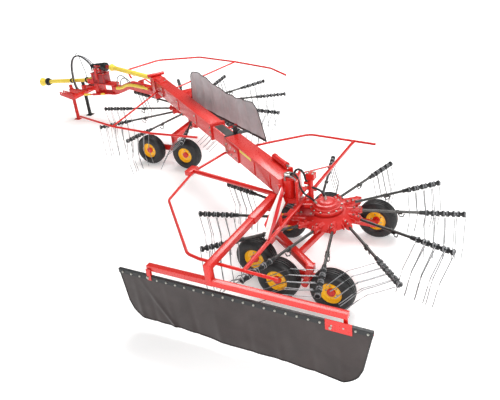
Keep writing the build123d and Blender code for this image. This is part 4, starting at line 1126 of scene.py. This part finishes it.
# Each crease: where it leaves the rail, how deep it is and how far it fans out
fold_creases = ((0.20, 0.030, 0.30), (0.34, -0.026, 0.22), (0.46, 0.028, 0.16), (0.62, -0.024, 0.10),
                (0.81, 0.024, 0.10), (1.02, -0.024, 0.08), (1.20, 0.022, 0.06), (1.37, -0.022, 0.02),
                (1.52, 0.024, -0.04), (1.66, -0.026, -0.10), (1.80, 0.026, -0.16), (1.95, -0.020, -0.20))


def along_curve(knots, at):
    """A smooth value between knots, by a Catmull-Rom span."""
    index = max(i for i, (share, _) in enumerate(knots[:-1]) if share <= at or i == 0)
    (a, low), (b, high) = knots[index], knots[index + 1]
    before = knots[max(index - 1, 0)]
    after = knots[min(index + 2, len(knots) - 1)]
    slope_in = (high - before[1]) / (b - before[0]) * (b - a)
    slope_out = (after[1] - low) / (after[0] - a) * (b - a)
    t = (at - a) / (b - a)
    return (low + t * (slope_in + t * (3 * (high - low) - 2 * slope_in - slope_out
                                       + t * (slope_in + slope_out - 2 * (high - low)))))


def fold_outline(across, high):
    """The ends lean inwards, and the top falls from a rounded peak, sags and ends in a corner."""
    rise = fold_low + (along_curve(fold_top, across) - fold_low) * high
    start = -0.04 + (fold_front_lean - 0.03) * high
    end = fold_run.length - fold_back_lean * high
    return (start + (end - start) * across) / fold_run.length, rise / fold_height


fold_crease_width = 0.042
# The swell under the creases: height and length, in metres
fold_swell = (0.012, 0.7)


def fold_waves(across, high):
    """Folds that fan out from the rail, deepest over halfway up and flatter at the top edge."""
    x = across * fold_run.length
    swell = fold_swell[0] * sin(2 * pi * x / fold_swell[1])
    for at, depth, fan in fold_creases:
        swell += depth * hump(x - at - fan * high * 0.4, fold_crease_width)
    return high ** 0.5 * (1 - 0.6 * high ** 3) * swell + 0.05 * high * high


fold_rise = Vector((0, 0, fold_height))
middle_cloth = cloth_piece("middle_cloth", fold_front, fold_run, fold_rise, fold_outline, fold_waves,
                           160, 40, grey_cloth, "fold_curtain")
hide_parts("middle_curtain")
edge_rope("middle_edge_rope", fold_front, fold_run, fold_rise, fold_outline, fold_waves,
          round_the_edge(90, True), "fold_curtain")

# Curtain frame, rail, legs and hitch gearbox
# The frame is a square red bar on a red sliding arm, and the middle curtain's rail a galvanised
# one. The parking legs are painted tube, and the gearbox a casting in deep red enamel.
softened("curtain_frame", 0.004, red_enamel)
softened("middle_curtain_rail", 0.001, zinc)
softened("curtain_lugs", 0.002, red_enamel)
softened("parking_leg_left", 0.003, red_enamel)
softened("parking_leg_right", 0.003, black)
softened("hitch_gearbox", 0.012, deep_red_enamel_and_painted_shade)

# Drive shafts
# Each guard is a yellow plastic tube with a ribbed bell over the joint and black lock rings. The
# steel yoke shows at the front end.


def along(start, end):
    """A matrix at start whose Z looks towards end."""
    return Matrix.Translation(start) @ (end - start).to_track_quat("Z", "Y").to_matrix().to_4x4()


bell_wall = 0.004
bell_ribs = 5
rib_step = 0.004


def bell_section(mouth_radius, neck_radius, length):
    """The closed section of a ribbed bell, from its open mouth at height 0 to its neck."""
    outside = []
    for number in range(bell_ribs):
        share = number / (bell_ribs - 1)
        radius = mouth_radius + (neck_radius - mouth_radius) * share
        outside.append((radius, length * share * 0.86))
        outside.append((radius - rib_step, length * (share * 0.86 + 0.05)))
    outside.append((neck_radius, length))
    inside = [(radius - bell_wall, height) for radius, height in reversed(outside)]
    return outside + inside + outside[:1]


def shaft_drums(bm, axis, rows):
    """Tubes and rings on a shaft, from rows of radius, start, end, sides and edge."""
    for radius, start, end, sides, edge in rows:
        drum(bm, radius, end - start, axis @ Matrix.Translation((0, 0, (start + end) / 2)), sides, edge)


shaft_front = spot(7.74, -3.3, 0.70)
shaft_back = spot(6.235, -3.3, 0.845)
shaft = along(shaft_front, shaft_back)
shaft_length = (shaft_back - shaft_front).length
# The outer guard tube runs from the front bell to the middle, and the inner one out of it
outer_start = 0.16
outer_end = outer_start + shaft_length * 0.48
inner_start = shaft_length * 0.49
inner_end = shaft_length * 0.91
bm = bmesh.new()
spun(bm, bell_section(0.088, 0.048, 0.15), 40, shaft @ Matrix.Translation((0, 0, 0.03)))
spun(bm, bell_section(0.080, 0.048, 0.19), 40,
     along(shaft_back, shaft_front) @ Matrix.Translation((0, 0, 0.005)))
shaft_drums(bm, shaft, (
    (0.042, outer_start, outer_end, 32, 0.003),
    (0.036, inner_start, inner_end, 32, 0.003)))
pto = make_piece("pto_guard", bm, yellow_plastic, "headstock")
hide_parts("pto_shaft")
bm = bmesh.new()
shaft_drums(bm, shaft, (
    (0.080, 0.180, 0.210, 36, 0.006),
    (0.060, 0.2075, 0.2625, 36, 0.006),
    (0.049, outer_end - 0.0175, outer_end + 0.0175, 32, 0.005),
    (0.062, shaft_length - 0.215, shaft_length - 0.185, 36, 0.006)))
make_piece("pto_lock_rings", bm, black, "headstock")
# The yoke's grooved sleeve round the splined hole, then its two ears and the pin through them
yoke_section = ((0.0175, 0.0), (0.036, 0.0), (0.038, 0.003), (0.038, 0.046), (0.030, 0.050),
                (0.030, 0.085), (0.0175, 0.085), (0.0175, 0.0))
yoke_ear = (0.014, 0.040, 0.07)
bm = bmesh.new()
spun(bm, yoke_section, 40, shaft)
for side in (-1, 1):
    lump(bm, yoke_ear, shaft @ Matrix.Translation((side * 0.030, 0, 0.11)), 0.003)
drum(bm, 0.012, 0.075, shaft @ Matrix.Translation((0, 0, 0.13)) @ z_to_x, 16, 0.002)
make_piece("pto_yoke", bm, zinc, "headstock")

output_height = 1.125
upper_front = spot(5.75, -3.3, output_height)
upper_back = on_beam(-0.0953, 0, 0.042)
upper = along(upper_front, upper_back)
upper_length = (upper_back - upper_front).length
ring_middle = upper_length * 0.55
bm = bmesh.new()
spun(bm, bell_section(0.068, 0.046, 0.12), 40, upper @ Matrix.Translation((0, 0, 0.032)))
shaft_drums(bm, upper, (
    (0.042, 0.14, upper_length, 32, 0.003),
    (0.048, ring_middle - 0.015, ring_middle + 0.015, 32, 0.004)))
upper_guard = make_piece("upper_guard", bm, yellow_plastic, "frame")
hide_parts("upper_shaft")
bm = bmesh.new()
bmesh.ops.create_uvsphere(bm, u_segments=24, v_segments=16, radius=0.039,
                          matrix=Matrix.Translation(upper_front))
make_piece("upper_joint", bm, black, "frame")

# Transfer gearbox and hose rack
# A cast box with ribs, flanges and bolts on the headstock. The hoses loop over a wire hook and
# are parked on the cross bar, and a rubber boot runs from the box to the upper shaft.
boot_folds = 9
boot_wide = 0.083
boot_narrow = 0.034
fold_depth = 0.006
boot_section = [(0, 0.0), (0.070, 0.0), (boot_wide, 0.006)]
for number in range(boot_folds):
    share = number / (boot_folds - 1)
    radius = boot_wide + (boot_narrow - boot_wide) * share
    boot_section.append((radius + fold_depth * (number % 2), 0.02 + 0.37 * share))
boot_section.append((0, 0.40))
bm = bmesh.new()
spun(bm, boot_section, 40, along(spot(5.855, -3.3, output_height), spot(6.26, -3.3, output_height)))
make_piece("output_boot", bm, black, "headstock")
bm = bmesh.new()
blocks(bm, (
    ((0.014, 0.190, 0.17), (5.93, -3.3, 0.905), 0.003),
    ((0.014, 0.190, 0.17), (6.065, -3.3, 0.905), 0.003),
    ((0.014, 0.190, 0.17), (6.20, -3.3, 0.905), 0.003),
    ((0.350, 0.190, 0.016), (6.065, -3.3, 0.995), 0.004),
    ((0.190, 0.140, 0.014), (6.035, -3.3, 1.150), 0.004),
    ((0.05, 0.012, 0.22), (6.08, -3.19, 1.00), 0.003),
    ((0.16, 0.03, 0.10), (6.28, -3.225, 0.83), 0.004)))
drum(bm, 0.075, 0.03, Matrix.Translation(spot(6.232, -3.3, 0.845)) @ z_to_x, 32, 0.004)
drum(bm, 0.055, 0.024, Matrix.Translation(spot(6.035, -3.23, 1.07)) @ z_to_minus_y, 28, 0.004)
make_piece("hitch_gearbox_ribs", bm, red_enamel, "headstock")
flange_bolts = [(x, y, 1.003) for x in (5.91, 6.065, 6.22) for y in (-3.38, -3.22)]
flange_bolts += [(x, y, 1.157) for x in (5.96, 6.11) for y in (-3.355, -3.245)]
box_bolts = [Matrix.Translation(spot(*place)) for place in flange_bolts]
cover_ring = 0.04
for angle in (pi / 4, 3 * pi / 4, 5 * pi / 4, 7 * pi / 4):
    place = spot(6.035 + cover_ring * cos(angle), -3.218, 1.07 + cover_ring * sin(angle))
    box_bolts.append(Matrix.Translation(place) @ z_to_y)
bolt_group("hitch_gearbox_bolts", beam_nut, box_bolts, "headstock")

rack_route = ((6.20, -3.24, 1.04), (6.18, -3.235, 1.15), (6.27, -3.22, 1.26), (6.42, -3.22, 1.345),
              (6.57, -3.21, 1.33), (6.67, -3.20, 1.20), (6.715, -3.20, 1.00), (6.725, -3.20, 0.80),
              (6.69, -3.20, 0.635), (6.60, -3.20, 0.575), (6.512, -3.20, 0.60))
held_line("rack_hose", rack_route, hose_radius, rubber_hose, "headstock")
# The two cables keep beside the hose: how far aside, and how much wider their hanging loop is
rack_last = len(rack_route) - 1
for name, aside, wider in (("rack_cable_1", -0.05, 0.030), ("rack_cable_2", -0.09, 0.055)):
    cable_route = [(x + wider * (2 < i < 9), y + aside, z - 0.02 * (0 < i < rack_last))
                   for i, (x, y, z) in enumerate(rack_route)]
    held_line(name, cable_route, cable_radius, grey_sheath, "headstock")


def bent_rod(bm, route, radius, sides):
    """A rod or tube through places that are given as spot takes them."""
    sweep(bm, [spot(*place) for place in route], radius, sides)


bm = bmesh.new()
bent_rod(bm, ((6.37, -3.26, 0.744), (6.40, -3.25, 1.05), (6.45, -3.235, 1.30), (6.46, -3.23, 1.37),
              (6.48, -3.215, 1.395), (6.50, -3.20, 1.375), (6.495, -3.195, 1.335)), 0.006, 8)
make_piece("hose_hook", bm, black, "headstock")

bm = bmesh.new()
bent_rod(bm, ((6.43, -3.125, 0.575), (6.28, -3.14, 0.585)), 0.022, 16)
bent_rod(bm, ((6.02, -3.165, 0.603), (5.93, -3.174, 0.609)), 0.020, 16)
make_piece("steering_rod_sleeves", bm, yellow_plastic, "headstock")
bm = bmesh.new()
bent_rod(bm, ((6.44, -3.124, 0.574), (5.78, -3.19, 0.618)), 0.013, 16)
bent_rod(bm, ((6.22, -3.146, 0.589), (6.04, -3.163, 0.602)), 0.023, 16)
make_piece("steering_rod", bm, red_enamel, "headstock")

# A yellow sleeve bundles the hoses along the gooseneck, under three black straps
sleeve_route = ((5.60, -3.19, 0.745), (5.45, -3.155, 0.765), (5.28, -3.105, 0.86), (5.05, -3.035, 0.895),
                (4.60, -2.905, 0.90))
bm = bmesh.new()
sweep(bm, smooth_line([spot(*place) for place in sleeve_route]), 0.030, 16)
make_piece("neck_hose_sleeve", bm, yellow_plastic, "frame")
bm = bmesh.new()
for x, y, z in ((5.45, -3.165, 0.775), (5.05, -3.045, 0.885), (4.72, -2.95, 0.89)):
    drum(bm, 0.036, 0.03, along(spot(x, y, z), spot(x - 0.3, y + 0.09, z + 0.02)), 20, 0.003)
make_piece("neck_hose_straps", bm, black, "frame")

# Warning boards
# Aluminium sheet on the rear unit, faced with reflective film in red and white stripes. The
# film's glass beads give it a fine grain, drawn coarser than it is, so that it shows.


def striped_sheet():
    """Reflective sheet on aluminium: white with red bands at 45 degrees."""
    band_mm = 297
    bead_mm = 2.5
    red_share = 0.45
    material = new_material("red_and_white_reflective_sheet")
    place = add(material, "ShaderNodeTexCoord", {}).outputs["Object"]
    axes = add(material, "ShaderNodeSeparateXYZ", {0: place})
    across = add(material, "ShaderNodeMath", {0: axes.outputs["Y"], 1: axes.outputs["Z"]}, operation="ADD")
    red_middle = rear_centre.y + 1.94
    red_start = red_middle - band_mm / 1000 * red_share / 2
    moved = add(material, "ShaderNodeMath", {0: across.outputs[0], 1: red_start}, operation="SUBTRACT")
    count = add(material, "ShaderNodeMath", {0: moved.outputs[0], 1: 1000 / band_mm},
                operation="MULTIPLY")
    part = add(material, "ShaderNodeMath", {0: count.outputs[0]}, operation="FRACT")
    band = add(material, "ShaderNodeMath", {0: part.outputs[0], 1: red_share}, operation="LESS_THAN")
    tone = add(material, "ShaderNodeMix", {
        0: band.outputs[0], 6: linear("#f1eeea"), 7: linear("#d3161c")}, data_type="RGBA")
    beads = add(material, "ShaderNodeTexNoise", {
        "Vector": place, "Scale": 1000 / bead_mm, "Detail": 2})
    relief = add(material, "ShaderNodeBump", {
        "Height": beads.outputs["Fac"], "Strength": 0.1, "Distance": 0.0004})
    return shade(material, base_color=tone.outputs[2], roughness=0.3, normal=relief.outputs[0])


softened("warning_boards", 0.001, striped_sheet())

# Floor and light
# A pale studio floor that glows brighter with distance until it meets the white backdrop, a big
# soft box overhead and a weaker one on the left and at the rear.
floor_half = 60
floor_gap = 0.001
floor_bm = bmesh.new()
bmesh.ops.create_grid(floor_bm, x_segments=1, y_segments=1, size=floor_half)
floor_mesh = bpy.data.meshes.new("floor")
floor_bm.to_mesh(floor_mesh)
floor_bm.free()
floor = bpy.data.objects.new("floor", floor_mesh)
bpy.context.collection.objects.link(floor)
floor.location.z = cad_box[0][2] - floor_gap

mottle_mm = 333
floor_paint = new_material("pale_studio_floor")
place = add(floor_paint, "ShaderNodeTexCoord", {}).outputs["Object"]
mottle = add(floor_paint, "ShaderNodeTexNoise", {"Vector": place, "Scale": 1000 / mottle_mm})
tone = add(floor_paint, "ShaderNodeMix", {
    0: mottle.outputs["Fac"], 6: linear("#f4f4f3"), 7: linear("#fafafa")}, data_type="RGBA")
distance = add(floor_paint, "ShaderNodeVectorMath", {0: place}, operation="LENGTH")
glow = add(floor_paint, "ShaderNodeMapRange", {
    "Value": distance.outputs["Value"], "From Min": 4, "From Max": 11, "To Min": 0.26, "To Max": 1.0})
shade(floor_paint, base_color=tone.outputs[2], roughness=0.9, specular_ior_level=0.0,
      emission_color=linear("#ffffff"), emission_strength=glow.outputs[0])
floor_mesh.materials.append(floor_paint)

# The camera sees a white backdrop, while gloss mirrors a darker room, so that the enamel keeps
# its colour and only the soft boxes and the floor flash in it.
world = bpy.data.worlds.new("studio")
bpy.context.scene.world = world
world.use_nodes = True
world.node_tree.nodes.clear()
paths = add(world, "ShaderNodeLightPath", {})
room = add(world, "ShaderNodeBackground", {"Color": linear("#ffffff"), "Strength": 0.4})
mirrored = add(world, "ShaderNodeBackground", {"Color": linear("#ffffff"), "Strength": 0.16})
backdrop = add(world, "ShaderNodeBackground", {"Color": linear("#ffffff"), "Strength": 1.0})
dim = add(world, "ShaderNodeMixShader", {
    0: paths.outputs["Is Glossy Ray"], 1: room.outputs[0], 2: mirrored.outputs[0]})
both = add(world, "ShaderNodeMixShader", {
    0: paths.outputs["Is Camera Ray"], 1: dim.outputs[0], 2: backdrop.outputs[0]})
add(world, "ShaderNodeOutputWorld", {"Surface": both.outputs[0]})


def soft_box(name, place, target, size, watts):
    """A rectangular lamp of a size, turned to look at a target."""
    lamp = bpy.data.lights.new(name, "AREA")
    lamp.shape = "RECTANGLE"
    lamp.size = size[0]
    lamp.size_y = size[1]
    lamp.energy = watts
    box = bpy.data.objects.new(name, lamp)
    bpy.context.collection.objects.link(box)
    box.location = place
    box.rotation_euler = (target - place).to_track_quat("-Z", "Y").to_euler()


look_at = Vector((0, 0, 0.5))
soft_box("overhead_box", Vector((-1, -3, 8)), look_at, (8, 4), 800)
soft_box("left_box", Vector((-6, 8, 5)), look_at, (4, 2), 400)
soft_box("rear_box", Vector((-10, -5, 3)), look_at, (3, 3), 190)

bpy.context.scene.view_settings.view_transform = "Standard"
